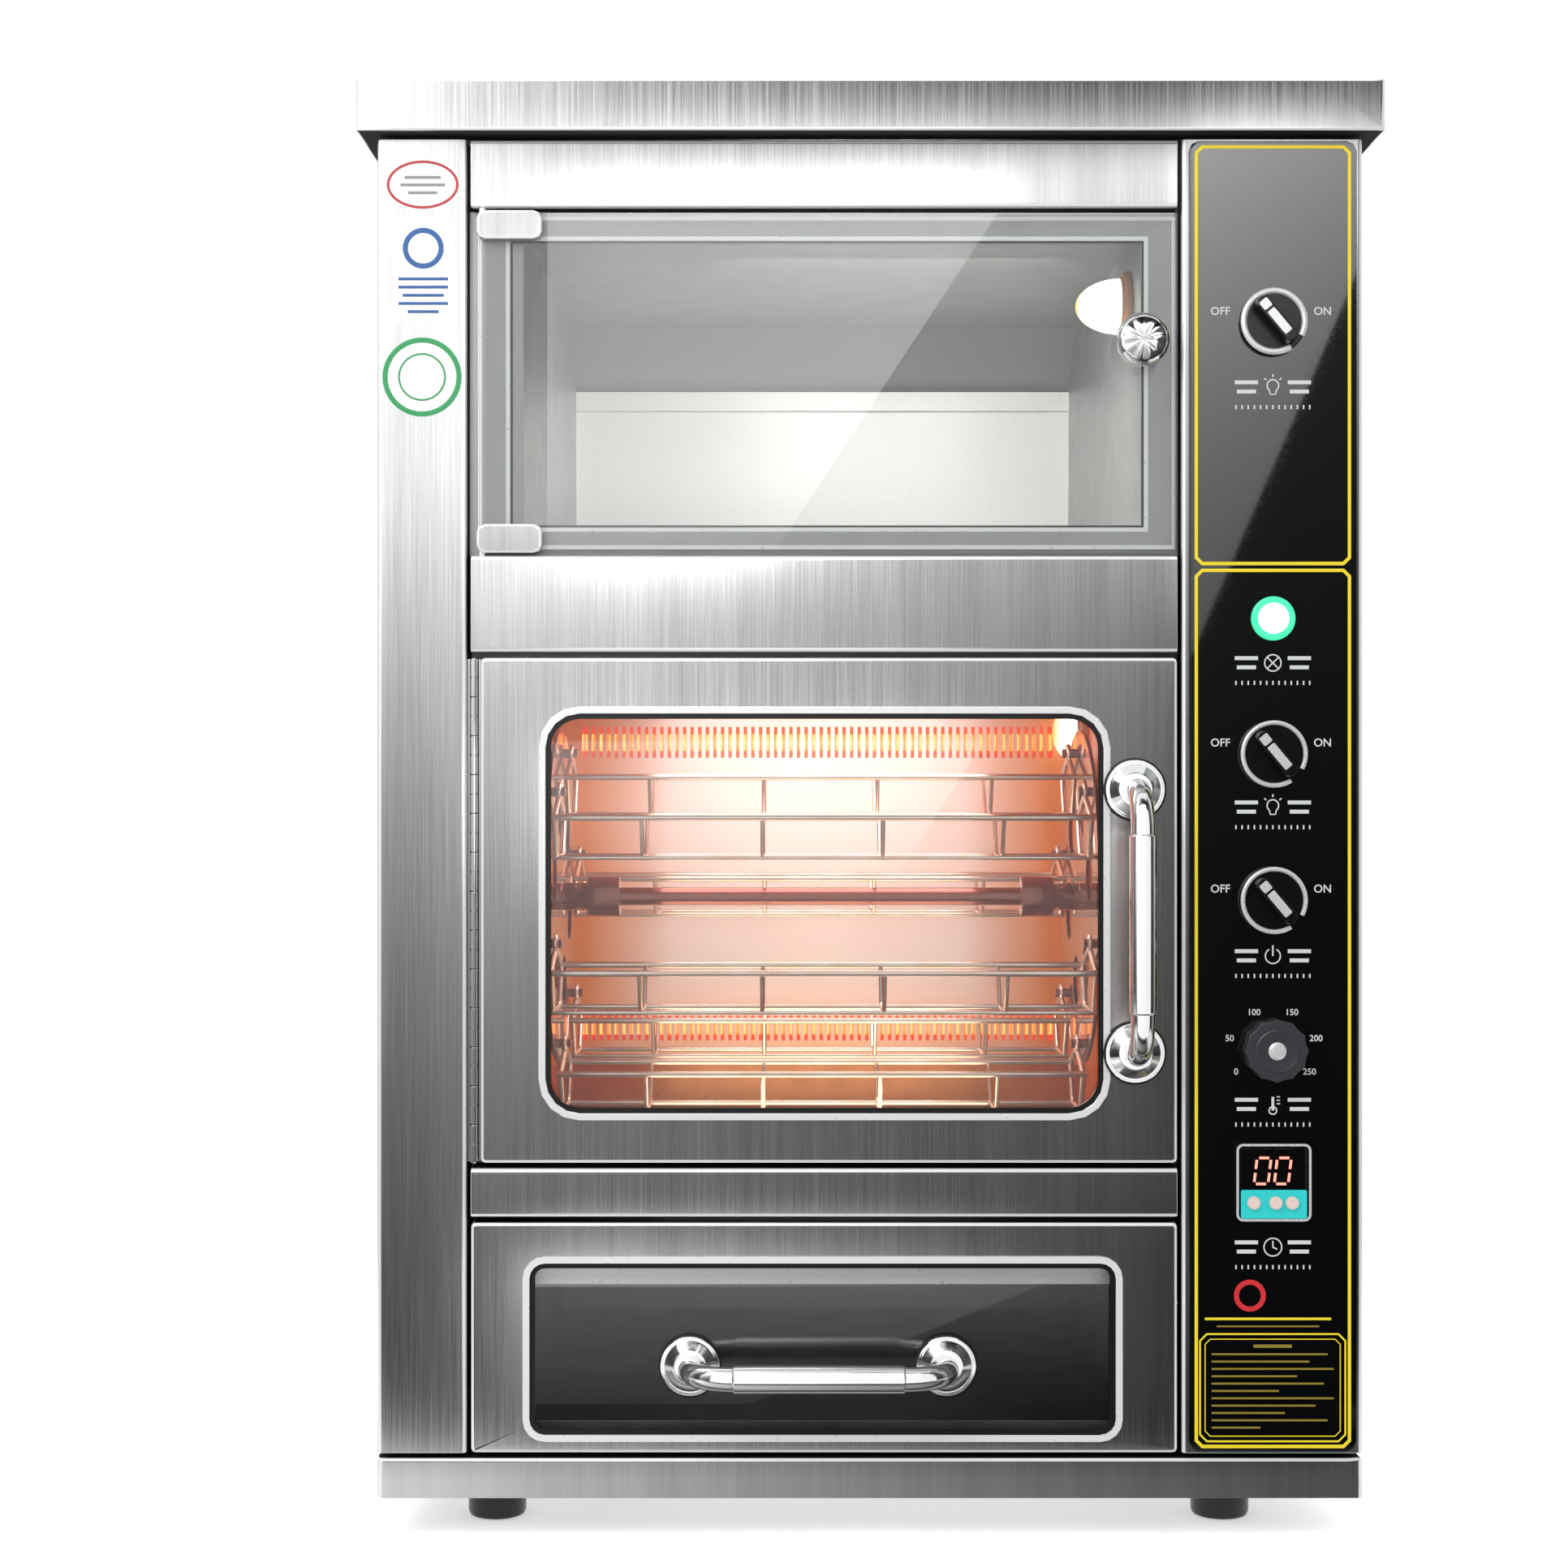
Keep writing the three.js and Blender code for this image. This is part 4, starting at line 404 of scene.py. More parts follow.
# Feet: moulded nitrile rubber pucks on studs, screwed up through the plinth. The rubber is a dull
# near-black with a fine grain, and its rim is rounded by the mould.
def grained(name, colour, roughness, grain, depth, metallic=0.0):
    """A moulded or cast surface with a fine grain of the given spacing and depth, in metres."""
    material, tree, shader = new_material(name, colour, roughness, metallic)
    where = add_node(tree, "TexCoord")
    noise = add_node(tree, "TexNoise", {"Vector": where.outputs["Object"], "Scale": 1 / grain, "Detail": 2})
    bump = add_node(tree, "Bump", {"Strength": 0.3, "Distance": depth, "Height": noise})
    gloss = add_node(tree, "MapRange", {0: noise, 1: 0.3, 2: 0.7, 3: roughness - 0.05, 4: roughness + 0.05})
    wire(shader, {"Normal": bump, "Roughness": gloss})
    return material


def path_of(name, points):
    """One corner drawn along the points by extruding it, as an open wire of edges."""
    bpy.ops.object.select_all(action="DESELECT")
    bpy.ops.mesh.primitive_plane_add(size=0.001)
    piece = bpy.context.active_object
    piece.name = name
    bpy.ops.object.mode_set(mode="EDIT")
    bpy.ops.mesh.select_mode(type="VERT")
    bpy.ops.mesh.select_all(action="SELECT")
    bpy.ops.mesh.merge(type="CENTER")
    bpy.ops.transform.translate(value=Vector(points[0]))
    for start, end in zip(points, points[1:]):
        bpy.ops.mesh.extrude_region_move(TRANSFORM_OT_translate={"value": Vector(end) - Vector(start)})
    bpy.ops.object.mode_set(mode="OBJECT")
    return piece


def put(piece, place, turn=(0, 0, 0)):
    """Turns a piece, puts it in its place and leaves both in its mesh."""
    select_only(piece)
    piece.rotation_euler = turn
    piece.location = place
    bpy.ops.object.transform_apply(location=True, rotation=True, scale=True)
    return piece


as_made = (0, 0, 0)
to_front, to_back = (upright, 0, 0), (-upright, 0, 0)  # turns what points up so that it points at the camera, or away
to_left, to_right = (0, -upright, 0), (0, upright, 0)


def turned(name, profile, place=(0, 0, 0), turn=to_front, steps=40, smooth_below=40):
    """A lathe-turned piece: its radius and height in mm, point by point, spun round its axis."""
    piece = path_of(name, [(radius / 1000, 0, height / 1000) for radius, height in profile])
    bpy.ops.object.mode_set(mode="EDIT")
    bpy.ops.mesh.select_all(action="SELECT")
    bpy.ops.mesh.spin(steps=steps, angle=2 * math.pi, center=(0, 0, 0), axis=(0, 0, 1))
    bpy.ops.mesh.select_all(action="SELECT")
    bpy.ops.mesh.remove_doubles(threshold=0.000005)
    bpy.ops.mesh.normals_make_consistent(inside=False)
    bpy.ops.object.mode_set(mode="OBJECT")
    bpy.ops.object.shade_smooth_by_angle(angle=math.radians(smooth_below))
    return put(piece, place, turn)


foot_rubber = grained("moulded_nitrile_rubber", "#161617", 0.3, 0.0012, 0.0001)
for node in ("foot_front_left", "foot_front_right", "foot_rear_left", "foot_rear_right"):
    low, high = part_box(node)
    radius, height = (high.x - low.x) * 500, plinth_low.z * 1000
    stud = (high.z - low.z) * 1000
    foot_profile = [(0, 0), (radius - 3, 0), (radius - 0.9, 0.9), (radius, 3), (radius, height + 0.8)]
    foot_profile += [(radius - 1, height + 1.2), (4, height + 1.2), (4, stud), (0, stud)]
    foot = turned(node + "_finished", foot_profile, ((low.x + high.x) / 2, (low.y + high.y) / 2, 0), as_made)
    fit(foot, foot_rubber, "black_rubber", "cabinet", node)


# Cap: a lid folded from the same hairline sheet, its corners welded and ground. It stands out over
# the body in front and at the sides, and the strip under it is painted black as shade.
cap_low, cap_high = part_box("top_cap")
cap = roll_edges(
    copy_of("top_cap"), 0.0018, lambda a, b: on_side(a, cap_low, cap_high) and on_side(b, cap_low, cap_high)
)
fit(round_edges(cap, 0.0006, 3, sharper_than=50), outer_steel, "brushed_steel", "cabinet", "top_cap")
# painted shade: the cap's underside strip is painted black
paint_faces(cap, seam_shade, lambda side: side.normal.z < -0.9 and side.center.z < cap_low.z + touching)


# Side panels and back cover: plain hairline sheets with pressed air slots, held to the frame by nickel
# plated pan-head screws with a cross recess. The cable gland is a moulded nylon nut.
for node in ("left_side_panel", "right_side_panel", "back_cover"):
    fit(round_edges(copy_of(node), 0.0003), outer_steel, "brushed_steel", "cabinet", node)
gland_nylon = grained("moulded_nylon", "#18191b", 0.42, 0.0009, 0.00004)
fit(round_edges(copy_of("cable_gland"), 0.0006), gland_nylon, "black_plastic", "cabinet", "cable_gland")


def copy_piece(piece, name, place=(0, 0, 0), turn=(0, 0, 0)):
    """A copy with its own mesh, turned about the origin and then moved."""
    twin = bpy.data.objects.new(name, piece.data.copy())
    bpy.context.scene.collection.objects.link(twin)
    return put(twin, place, turn)


def join(name, pieces):
    """Makes one piece of several."""
    bpy.ops.object.select_all(action="DESELECT")
    for piece in pieces:
        piece.select_set(True)
    bpy.context.view_layer.objects.active = pieces[0]
    bpy.ops.object.join()
    pieces[0].name = name
    return pieces[0]


def worn(name, colour, scale, smooth, rough, metallic=1.0, low=0.3, high=0.7):
    """A plain hard surface whose gloss wanders between smooth and rough with light wear."""
    material, tree, shader = new_material(name, colour, smooth, metallic)
    rubs = add_node(tree, "TexNoise", {"Vector": add_node(tree, "TexCoord").outputs["Object"], "Scale": scale})
    wire(shader, {"Roughness": add_node(tree, "MapRange", {0: rubs, 1: low, 2: high, 3: smooth, 4: rough})})
    return material


screw_nickel = worn("nickel_plated_screw", "#c9cbcd", 500, 0.18, 0.36)
pan_profile = [(0, 0), (4.2, 0), (4.2, 0.5), (3.9, 1.3), (3.2, 1.8), (2.2, 2.1), (0, 2.15)]
pan_sides = 16
screw = turned("screw", pan_profile, turn=as_made, steps=pan_sides)
select_only(screw)
bpy.ops.object.mode_set(mode="EDIT")
bpy.ops.mesh.select_mode(type="FACE")
bpy.ops.mesh.select_all(action="DESELECT")
bpy.ops.object.mode_set(mode="OBJECT")
for polygon in screw.data.polygons:
    middle_angle = math.atan2(polygon.center.y, polygon.center.x) + math.pi / pan_sides
    crossing = abs(math.remainder(middle_angle, math.pi / 2)) < math.radians(12)
    polygon.select = crossing and polygon.center.z > 0.0021
bpy.ops.object.mode_set(mode="EDIT")
bpy.ops.mesh.extrude_region_move(TRANSFORM_OT_translate={"value": (0, 0, -0.0012)})
bpy.ops.object.mode_set(mode="OBJECT")
side_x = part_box("left_side_panel")[0].x
back_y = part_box("back_cover")[1].y
edge_gap = 0.009
lowest, highest = 0.061, 0.813
screws = []
for height in (lowest, 0.25, 0.44, 0.63, highest):
    for depth in (-0.172, 0.226):
        screws.append(copy_piece(screw, "screw", (side_x, depth, height), to_left))
        screws.append(copy_piece(screw, "screw", (-side_x, depth, height), to_right))
    for across in (side_x + edge_gap, -side_x - edge_gap):
        screws.append(copy_piece(screw, "screw", (across, back_y, height), to_back))
for across in (-0.14, 0.0, 0.14):
    for height in (lowest, highest):
        screws.append(copy_piece(screw, "screw", (across, back_y, height), to_back))
bpy.data.objects.remove(screw)
fit(join("cabinet_screws", screws), screw_nickel, "brushed_steel", "cabinet")


# Front columns and fascias: channels folded from the hairline sheet, open at the back. Their edges
# are painted white as highlights beside the seams, and the seams' walls are painted black as shade.
edge_deep = 0.0031  # how far into a seam the steel shows before the painted shade starts
outer_side = 0.2885  # beyond this are the columns' outer sides, which have no seam
for node in ("left_column", "right_column", "top_fascia", "middle_fascia", "lower_fascia"):
    channel = round_edges(copy_of(node), 0.0004, smooth_below=50)
    fit(channel, outer_steel, "brushed_steel", "cabinet", node)
    # painted shade: the walls inside the seams are painted black
    paint_faces(
        channel,
        seam_shade,
        lambda side: abs(side.normal.y) < 0.3
        and side.center.y > face + edge_deep
        and abs(side.center.x) < outer_side,
    )


# Stickers: three blank printed vinyl labels on the left column, an oval, a card and a round one. Soft
# white vinyl with printed rims, a ring and plain dashes, no words.
def flat_plate(name, across, up, y, corner, thickness=0.00012, ring=0.0, steps=6):
    """A thin upright plate facing the camera, its back at y, or a ring of that width."""
    (left, right), (low, high) = across, up
    bpy.ops.object.select_all(action="DESELECT")
    bpy.ops.mesh.primitive_plane_add(size=1)
    plate = bpy.context.active_object
    plate.name = name
    bpy.ops.object.mode_set(mode="EDIT")
    bpy.ops.mesh.select_mode(type="VERT")
    bpy.ops.mesh.select_all(action="SELECT")
    bpy.ops.transform.resize(value=(right - left, high - low, 1))
    if corner:
        bpy.ops.mesh.bevel(offset=corner, segments=steps, affect="VERTICES")
    if ring:
        bpy.ops.mesh.select_all(action="SELECT")
        bpy.ops.mesh.inset(thickness=ring)
        bpy.ops.mesh.delete(type="FACE")
    bpy.ops.object.mode_set(mode="OBJECT")
    put(plate, ((left + right) / 2, y, (low + high) / 2), to_front)
    wall = plate.modifiers.new("wall", "SOLIDIFY")
    wall.thickness = thickness
    wall.offset = 1
    select_only(plate)
    bpy.ops.object.modifier_apply(modifier="wall")
    return plate


def bent_wire(name, points, radius, sides=3):
    """Round wire or tube along the points, with closed ends."""
    wire = path_of(name, points)
    select_only(wire)
    bpy.ops.object.convert(target="CURVE")
    wire.data.bevel_depth = radius
    wire.data.bevel_resolution = sides
    wire.data.use_fill_caps = True
    bpy.ops.object.convert(target="MESH")
    bpy.ops.object.mode_set(mode="EDIT")
    bpy.ops.mesh.select_all(action="SELECT")
    bpy.ops.mesh.remove_doubles(threshold=0.000005)
    bpy.ops.mesh.normals_make_consistent(inside=False)
    bpy.ops.object.mode_set(mode="OBJECT")
    bpy.ops.object.shade_smooth_by_angle(angle=math.radians(50))
    return wire


def stroke(points, width, y):
    """A printed line along points given as across and up, as flat as ink."""
    line = bent_wire("stroke", [(x, 0, z) for x, z in points], width / 2, 1)
    line.scale = (1, 0.1, 1)
    return put(line, (0, y, 0))


def dash(middle, half, z, width, y):
    """A level printed line, half as long on each side of its middle."""
    return stroke([(middle - half, z), (middle + half, z)], width, y)


def round_path(x, z, across, up, start=0, end=360, steps=28):
    """Points round an oval or an arc, in degrees from the right."""
    turns = [math.radians(start + (end - start) * i / steps) for i in range(steps + 1)]
    return [(x + across * math.cos(turn), z + up * math.sin(turn)) for turn in turns]


def printed_vinyl(name, colour):
    """Matt printed vinyl: very slightly uneven, so that light rolls over it softly."""
    material, tree, shader = new_material(name, colour, 0.45)
    paper = add_node(tree, "TexNoise", {"Vector": add_node(tree, "TexCoord").outputs["Object"], "Scale": 300})
    bump = add_node(tree, "Bump", {"Strength": 0.15, "Distance": 0.0001, "Height": paper})
    level = add_node(tree, "MapRange", {0: paper, 1: 0.3, 2: 0.7, 3: 0.96, 4: 1.04})
    ink = add_node(tree, "HueSaturation", {"Color": linear(colour), "Value": level})
    wire(shader, {"Base Color": ink, "Normal": bump})
    return material


vinyl_white = printed_vinyl("white_vinyl", "#f3f3f1")
vinyl_red = printed_vinyl("red_ink", "#b8323a")
vinyl_blue = printed_vinyl("blue_ink", "#2d5f9e")
vinyl_green = printed_vinyl("green_ink", "#2f9a5b")
vinyl_grey = printed_vinyl("grey_ink", "#8d9096")
sticker_y = face - 0.00002
ink_y = face - 0.00022
oval = flat_plate("oval_sticker", (-0.2836, -0.2408), (0.7813, 0.8103), sticker_y, 0.0144, steps=12)
fit(oval, vinyl_white, "", "cabinet")
oval_x, oval_z = -0.2622, 0.7958
fit(stroke(round_path(oval_x, oval_z, 0.0203, 0.0134, steps=48), 0.0017, ink_y), vinyl_red, "", "cabinet")
oval_lines = [
    dash(oval_x, half, oval_z + rise, 0.0018, ink_y)
    for half, rise in ((0.0105, 0.0042), (0.013, -0.0002), (0.0085, -0.0048))
]
fit(join("oval_dashes", oval_lines), vinyl_grey, "", "cabinet")
card = flat_plate("card_sticker", (-0.2802, -0.2436), (0.7151, 0.7755), sticker_y, 0.0015)
fit(card, vinyl_white, "", "cabinet")
card_x = -0.2619
card_print = [stroke(round_path(card_x, 0.7585, 0.0105, 0.0105, steps=36), 0.0034, ink_y)]
for i, half in enumerate((0.0145, 0.0145, 0.012, 0.0145, 0.009)):
    card_print.append(dash(card_x, half, 0.7405 - 0.0048 * i, 0.0019, ink_y))
fit(join("card_print", card_print), vinyl_blue, "", "cabinet")
disc = flat_plate("round_sticker", (-0.2864, -0.2389), (0.6593, 0.7068), sticker_y, 0.0237, steps=12)
fit(disc, vinyl_white, "", "cabinet")
round_print = [
    stroke(round_path(-0.2626, 0.683, radius, radius, steps=steps), width, ink_y)
    for radius, steps, width in ((0.0217, 48, 0.0034), (0.0135, 40, 0.0012))
]
fit(join("round_sticker_print", round_print), vinyl_green, "", "cabinet")


# Warmer: a liner of bright rolled stainless steel with a face frame in front, folded and spot welded.
# The rolled sheet has no hairlines, only a soft sheen, and its rear panel is enamelled white.
def rolled_steel(name, colour, roughness, metallic):
    """Bright rolled sheet: a faint long-wave unevenness and light rub marks."""
    material, tree, shader = new_material(name, colour, roughness, metallic)
    where = add_node(tree, "TexCoord")
    waves = add_node(tree, "TexNoise", {"Vector": where.outputs["Object"], "Scale": 40, "Detail": 2})
    grain = add_node(tree, "TexNoise", {"Vector": where.outputs["Object"], "Scale": 1600, "Detail": 1})
    gloss = add_node(tree, "MapRange", {0: waves, 1: 0.3, 2: 0.7, 3: roughness - 0.05, 4: roughness + 0.06})
    bump = add_node(tree, "Bump", {"Strength": 0.05, "Distance": 0.00002, "Height": grain})
    wire(shader, {"Roughness": gloss, "Normal": bump})
    return material


liner_steel = rolled_steel("bright_rolled_stainless_steel", "#a3a3a3", 0.4, 0.7)
rear_enamel = grained("white_enamel", "#f6f6f4", 0.3, 0.002, 0.00003)
warmer_liner = round_edges(copy_of("warmer_liner"), 0.0004)
fit(warmer_liner, liner_steel, "liner_steel", "cabinet", "warmer_liner")
rear_front, rear_top = 0.1805, 0.7345  # behind and below these is the enamelled rear panel
paint_faces(warmer_liner, rear_enamel, lambda side: side.center.y > rear_front and side.center.z < rear_top)
# painted highlight: near-white steel with little metal, laid on raised rims, trim rings and the tray's lip so they
# read as bright lines
painted_highlight_steel = worn("painted_highlight_edge", "#f6f6f5", 200, 0.27, 0.33, metallic=0.25)
frame_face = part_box("warmer_liner")[0].y - 0.0001
# painted highlight: two near-white rings on the warmer's face frame
trims = [
    flat_plate("trim", (-0.2144, 0.1642), (0.5931, 0.7672), frame_face, 0, 0.0004, ring=0.0025),
    flat_plate("trim", (-0.231, 0.1806), (0.5828, 0.7788), frame_face, 0, 0.0004, ring=0.0024),
]
fit(join("warmer_frame_edges", trims), painted_highlight_steel, "", "cabinet")
gap_y = frame_face + 0.0014
# painted shade: a black ring between the two bright rings
shadow_gap = flat_plate("warmer_frame_gap", (-0.2119, 0.162), (0.5956, 0.7647), gap_y, 0, 0.0004, 0.0014)
fit(shadow_gap, seam_shade, "", "cabinet")
soft_lamp("warmer_light", (0.02, -0.12, 0.765), (0.02, 0.0, 0.6), 0.2, 1.45, "#fffcf8")


# Lamps: a small halogen reflector lamp in the warmer and one in the oven, each with a pressed glass
# dome in a porcelain holder on the right wall. Both are lit alike, white hot in the middle and amber at the tip.
porcelain = grained("heat_browned_porcelain", "#c99467", 0.35, 0.0015, 0.00004)


def lit_dome(name, hot, warm, start, end, strength):
    """Pressed glass with a lamp behind it, white hot in the middle and amber at its tip."""
    material, tree, shader = new_material(name, hot, 0.15)
    x = add_node(tree, "SeparateXYZ", {0: add_node(tree, "TexCoord").outputs["Object"]}).outputs["X"]
    along = add_node(tree, "MapRange", {0: x, 1: start, 2: end, 3: 0, 4: 1})
    glow = add_node(tree, "Mix", {0: along, 6: linear(warm), 7: linear(hot)}, data_type="RGBA")
    wire(shader, {"Emission Color": glow, "Base Color": glow, "Emission Strength": strength})
    return material


for place, radius, foot in (("warmer", 17, 4), ("oven", 20, 5)):
    low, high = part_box(place + "_lamp")
    spot = (high.x, (low.y + high.y) / 2, (low.z + high.z) / 2)
    deep = (high.x - low.x) * 1000 - foot
    base_radius = (high.z - low.z) * 500
    holder_profile = [(0, 0), (base_radius, 0), (base_radius, foot - 1.2), (base_radius - 1.2, foot)]
    holder_profile += [(radius + 1, foot), (radius + 0.6, foot + 1.6), (0, foot + 1.6)]
    holder = turned(place + "_lamp_holder", holder_profile, spot, to_left)
    fit(holder, porcelain, "lamp_glass", "cabinet", place + "_lamp")
    rises = [i * math.pi / 20 for i in range(10)]
    dome_profile = [(0, foot)] + [(radius * math.cos(rise), foot + deep * math.sin(rise)) for rise in rises]
    dome = turned(place + "_lamp_dome", dome_profile + [(0, foot + deep)], spot, to_left, smooth_below=60)
    glass = lit_dome(place + "_lamp_glass", "#fffdf6", "#ff9a2e", low.x, low.x + 0.007, 1.4)
    fit(dome, glass, "lamp_glass", "cabinet", place + "_lamp")


# Warmer door: a pane of tempered glass in two clamp clips, which turn on pins in the fascias. The
# knob is turned from bar with a diamond-cut end, and a screw through the glass holds it.
def pane_glass(name, tint):
    """Tempered float glass, clear, with a faint waviness from the furnace rollers."""
    material, tree, shader = new_material(name, tint, 0.0)
    waves = add_node(tree, "TexNoise", {"Vector": add_node(tree, "TexCoord").outputs["Object"], "Scale": 9})
    bump = add_node(tree, "Bump", {"Strength": 0.02, "Distance": 0.001, "Height": waves})
    wire(shader, {"Transmission Weight": 1.0, "IOR": 1.6, "Normal": bump})
    return material


clear_pane = pane_glass("tempered_float_glass", "#fbfdfd")


def glaze(node):
    """Gives a CAD pane, which stays as it is, its glass."""
    frame["nodes"][node].data.materials.clear()
    frame["nodes"][node].data.materials.append(clear_pane)


glaze("warmer_door_glass")
clip_steel = hairline_steel("hairline_clip_steel", "#b2b3b4", "#a3a4a6", 0.3, 0.4)
for node in ("warmer_clip_top", "warmer_clip_bottom"):
    clip = roll_edges(copy_of(node), 0.0016, lambda a, b: max(a.y, b.y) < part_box(node)[0].y + touching)
    fit(round_edges(clip, 0.0003, sharper_than=50), clip_steel, "polished_steel", "warmer_door", node)
polished = worn("polished_stainless_steel", "#eef0f1", 120, 0.07, 0.15, low=0.35)
low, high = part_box("warmer_door_knob")
glass_low, glass_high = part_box("warmer_door_glass")
knob_radius = (high.x - low.x) * 500
knob_deep = 22
facets, facet_deep, facet_reach = 10, 0.00045, 0.0118
knob_place = ((low.x + high.x) / 2, glass_low.y, (low.z + high.z) / 2)
knob_shares = [(0, 0), (0.35, 0), (0.35, 0.3), (0.45, 0.33), (0.62, 0.42), (0.97, 0.57), (1, 0.62), (1, 0.8)]
knob_shares += [(0.97, 0.86), (0.86, 0.95), (0.76, 1), (0.2, 0.985), (0, 0.98)]
knob = turned("warmer_knob", [(r * knob_radius, h * knob_deep) for r, h in knob_shares], turn=as_made)
for vertex in knob.data.vertices:
    angle = math.atan2(vertex.co.y, vertex.co.x)
    out = vertex.co.to_2d().length
    if vertex.co.z > 0.97 * knob_deep / 1000 and out > 0.001:
        vertex.co.z += facet_deep * math.cos(facets * angle) * out / facet_reach
put(knob, knob_place, to_front)
stud = (high.y - glass_low.y) * 1000
pane = (glass_high.y - glass_low.y) * 1000
nut_profile = [(0, 0), (3, 0), (3, pane + 0.3), (7, pane + 0.3), (7, pane + 2.9)]
nut_profile += [(6.4, pane + 3.3), (3, pane + 3.3), (3, stud), (0, stud)]
knob_stud = turned("warmer_knob_stud", nut_profile, knob_place, to_back, steps=24)
fit(join("warmer_knob", [knob, knob_stud]), polished, "polished_steel", "warmer_door", "warmer_door_knob")


# Oven liner: a box of the same rolled sheet. Heat tint with painted glow of the heaters colours it gold to orange,
# strongest at the side walls and paler towards the middle. The guard is a folded sheet with slots in front of two
# glowing quartz heaters.
oven_middle = (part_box("oven_door_glass")[0].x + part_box("oven_door_glass")[1].x) / 2
heat_tint_and_glow, tree, shader = new_material("heat_tint_and_painted_glow_steel", "#f2ddc4", 0.4, metallic=0.25)
where = add_node(tree, "TexCoord").outputs["Object"]
x = add_node(tree, "SeparateXYZ", {0: where}).outputs["X"]
aside = add_node(tree, "Math", {0: x, 1: -oven_middle}, operation="ADD")
aside = add_node(tree, "Math", {0: aside}, operation="ABSOLUTE")
patch = add_node(tree, "TexNoise", {"Vector": where, "Scale": 11, "Detail": 2})
patch = add_node(tree, "MapRange", {0: patch, 1: 0.35, 2: 0.65, 3: -0.035, 4: 0.035})
aside = add_node(tree, "Math", {0: aside, 1: patch}, operation="ADD")
tan = add_node(tree, "MapRange", {0: aside, 1: 0.1, 2: 0.17, 3: 0, 4: 1})
tan = add_node(tree, "Mix", {0: tan, 6: linear("#e8a060"), 7: linear("#d9660f")}, data_type="RGBA")
rub = add_node(tree, "TexNoise", {"Vector": where, "Scale": 60, "Detail": 3})
gloss = add_node(tree, "MapRange", {0: rub, 1: 0.3, 2: 0.7, 3: 0.26, 4: 0.42})
wire(shader, {"Base Color": tan, "Roughness": gloss})
oven_liner = round_edges(copy_of("oven_liner"), 0.0004)
fit(oven_liner, heat_tint_and_glow, "liner_steel", "cabinet", "oven_liner")
floor_top, mouth_back = 0.2141, -0.1838  # what is under or before these gets neither the tint nor the painted glow
paint_faces(oven_liner, liner_steel, lambda side: side.center.z < floor_top or side.center.y < mouth_back)
# painted glow of the heaters: the guard turns orange towards its sides and from the lower slots down
guard_steel = rolled_steel("pale_rolled_steel_painted_glow", "#fdf3f0", 0.34, 0.2)
tree = guard_steel.node_tree
x, _, z = add_node(tree, "SeparateXYZ", {0: add_node(tree, "TexCoord").outputs["Object"]}).outputs
aside = add_node(tree, "Math", {0: x, 1: -oven_middle}, operation="ADD")
aside = add_node(tree, "Math", {0: aside}, operation="ABSOLUTE")
aside = add_node(tree, "MapRange", {0: aside, 1: 0.105, 2: 0.165, 3: 0, 4: 1})
down = add_node(tree, "MapRange", {0: z, 1: 0.31, 2: 0.26, 3: 0, 4: 0.6})
painted_glow = add_node(tree, "Math", {0: aside, 1: down}, operation="MAXIMUM")
painted_glow = add_node(tree, "Mix", {0: painted_glow, 6: linear("#fdf3f0"), 7: linear("#ea9a48")}, data_type="RGBA")
wire(tree.nodes["Principled BSDF"], {"Base Color": painted_glow})
low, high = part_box("heater_guard")
slot_rows = ((0.262, 0.28), (0.463, 0.485))
slot_left, slot_right, slot_pitch, slot_width = -0.194, 0.1408, 0.0054, 0.0025
gauge = 0.0012
guard_front = low.y + gauge
levels = (low.z, *slot_rows[0], *slot_rows[1], high.z)
spans = [((low.x, high.x), levels[i : i + 2]) for i in (0, 2, 4)]
for row in slot_rows:
    spans += [((low.x, slot_left), row), ((slot_right, high.x), row)]
    for i in range(1, round((slot_right - slot_left) / slot_pitch)):
        bar_left = slot_left + i * slot_pitch - (slot_pitch - slot_width) / 2
        spans.append(((bar_left, bar_left + slot_pitch - slot_width), row))
sheets = [flat_plate("sheet", across, up, guard_front, 0, gauge) for across, up in spans]
half_deep = (high.y - low.y) / 2
for edge in (low.z, high.z - gauge):
    fold = flat_plate("sheet", (low.x, high.x), (-half_deep, half_deep), 0, 0, gauge)
    put(fold, (0, 0, 0), to_front)
    sheets.append(put(fold, (0, (low.y + high.y) / 2, edge)))
fit(join("slotted_guard", sheets), guard_steel, "liner_steel", "cabinet", "heater_guard")
hot_quartz, tree, shader = new_material("glowing_quartz_tube", "#ffb070", 0.25)
x = add_node(tree, "SeparateXYZ", {0: add_node(tree, "TexCoord").outputs["Object"]}).outputs["X"]
coil = add_node(tree, "Math", {0: x, 1: 1900.0}, operation="MULTIPLY")
coil = add_node(tree, "Math", {0: coil}, operation="SINE")
coil = add_node(tree, "MapRange", {0: coil, 1: -1, 2: 1, 3: 0, 4: 1})
coil = add_node(tree, "Mix", {0: coil, 6: linear("#ff5a12"), 7: linear("#ffb35c")}, data_type="RGBA")
wire(shader, {"Emission Color": coil, "Emission Strength": 1.6})
for node in ("upper_heater", "lower_heater"):
    fit(round_edges(copy_of(node), 0.0004), hot_quartz, "quartz_white", "cabinet", node)
for name, height, aim, watts, colour in (
    ("oven_top_glow", 0.5, 0.2, 0.7, "#ffe9e2"),
    ("oven_low_glow", 0.222, 0.5, 0.4, "#ffe2c4"),
):
    soft_lamp(name, (oven_middle, -0.02, height), (oven_middle, 0.01, aim), 0.22, watts, colour)


# Bearings and gearmotor, outside the oven's walls: zinc-plated steel, dull and slightly blue.
zinc = grained("zinc_plated_steel", "#8f9498", 0.38, 0.003, 0.00003, metallic=1.0)
for node in ("shaft_bearing_left", "shaft_bearing_right", "drive_motor"):
    fit(round_edges(copy_of(node), 0.0005), zinc, "motor_steel", "cabinet", node)
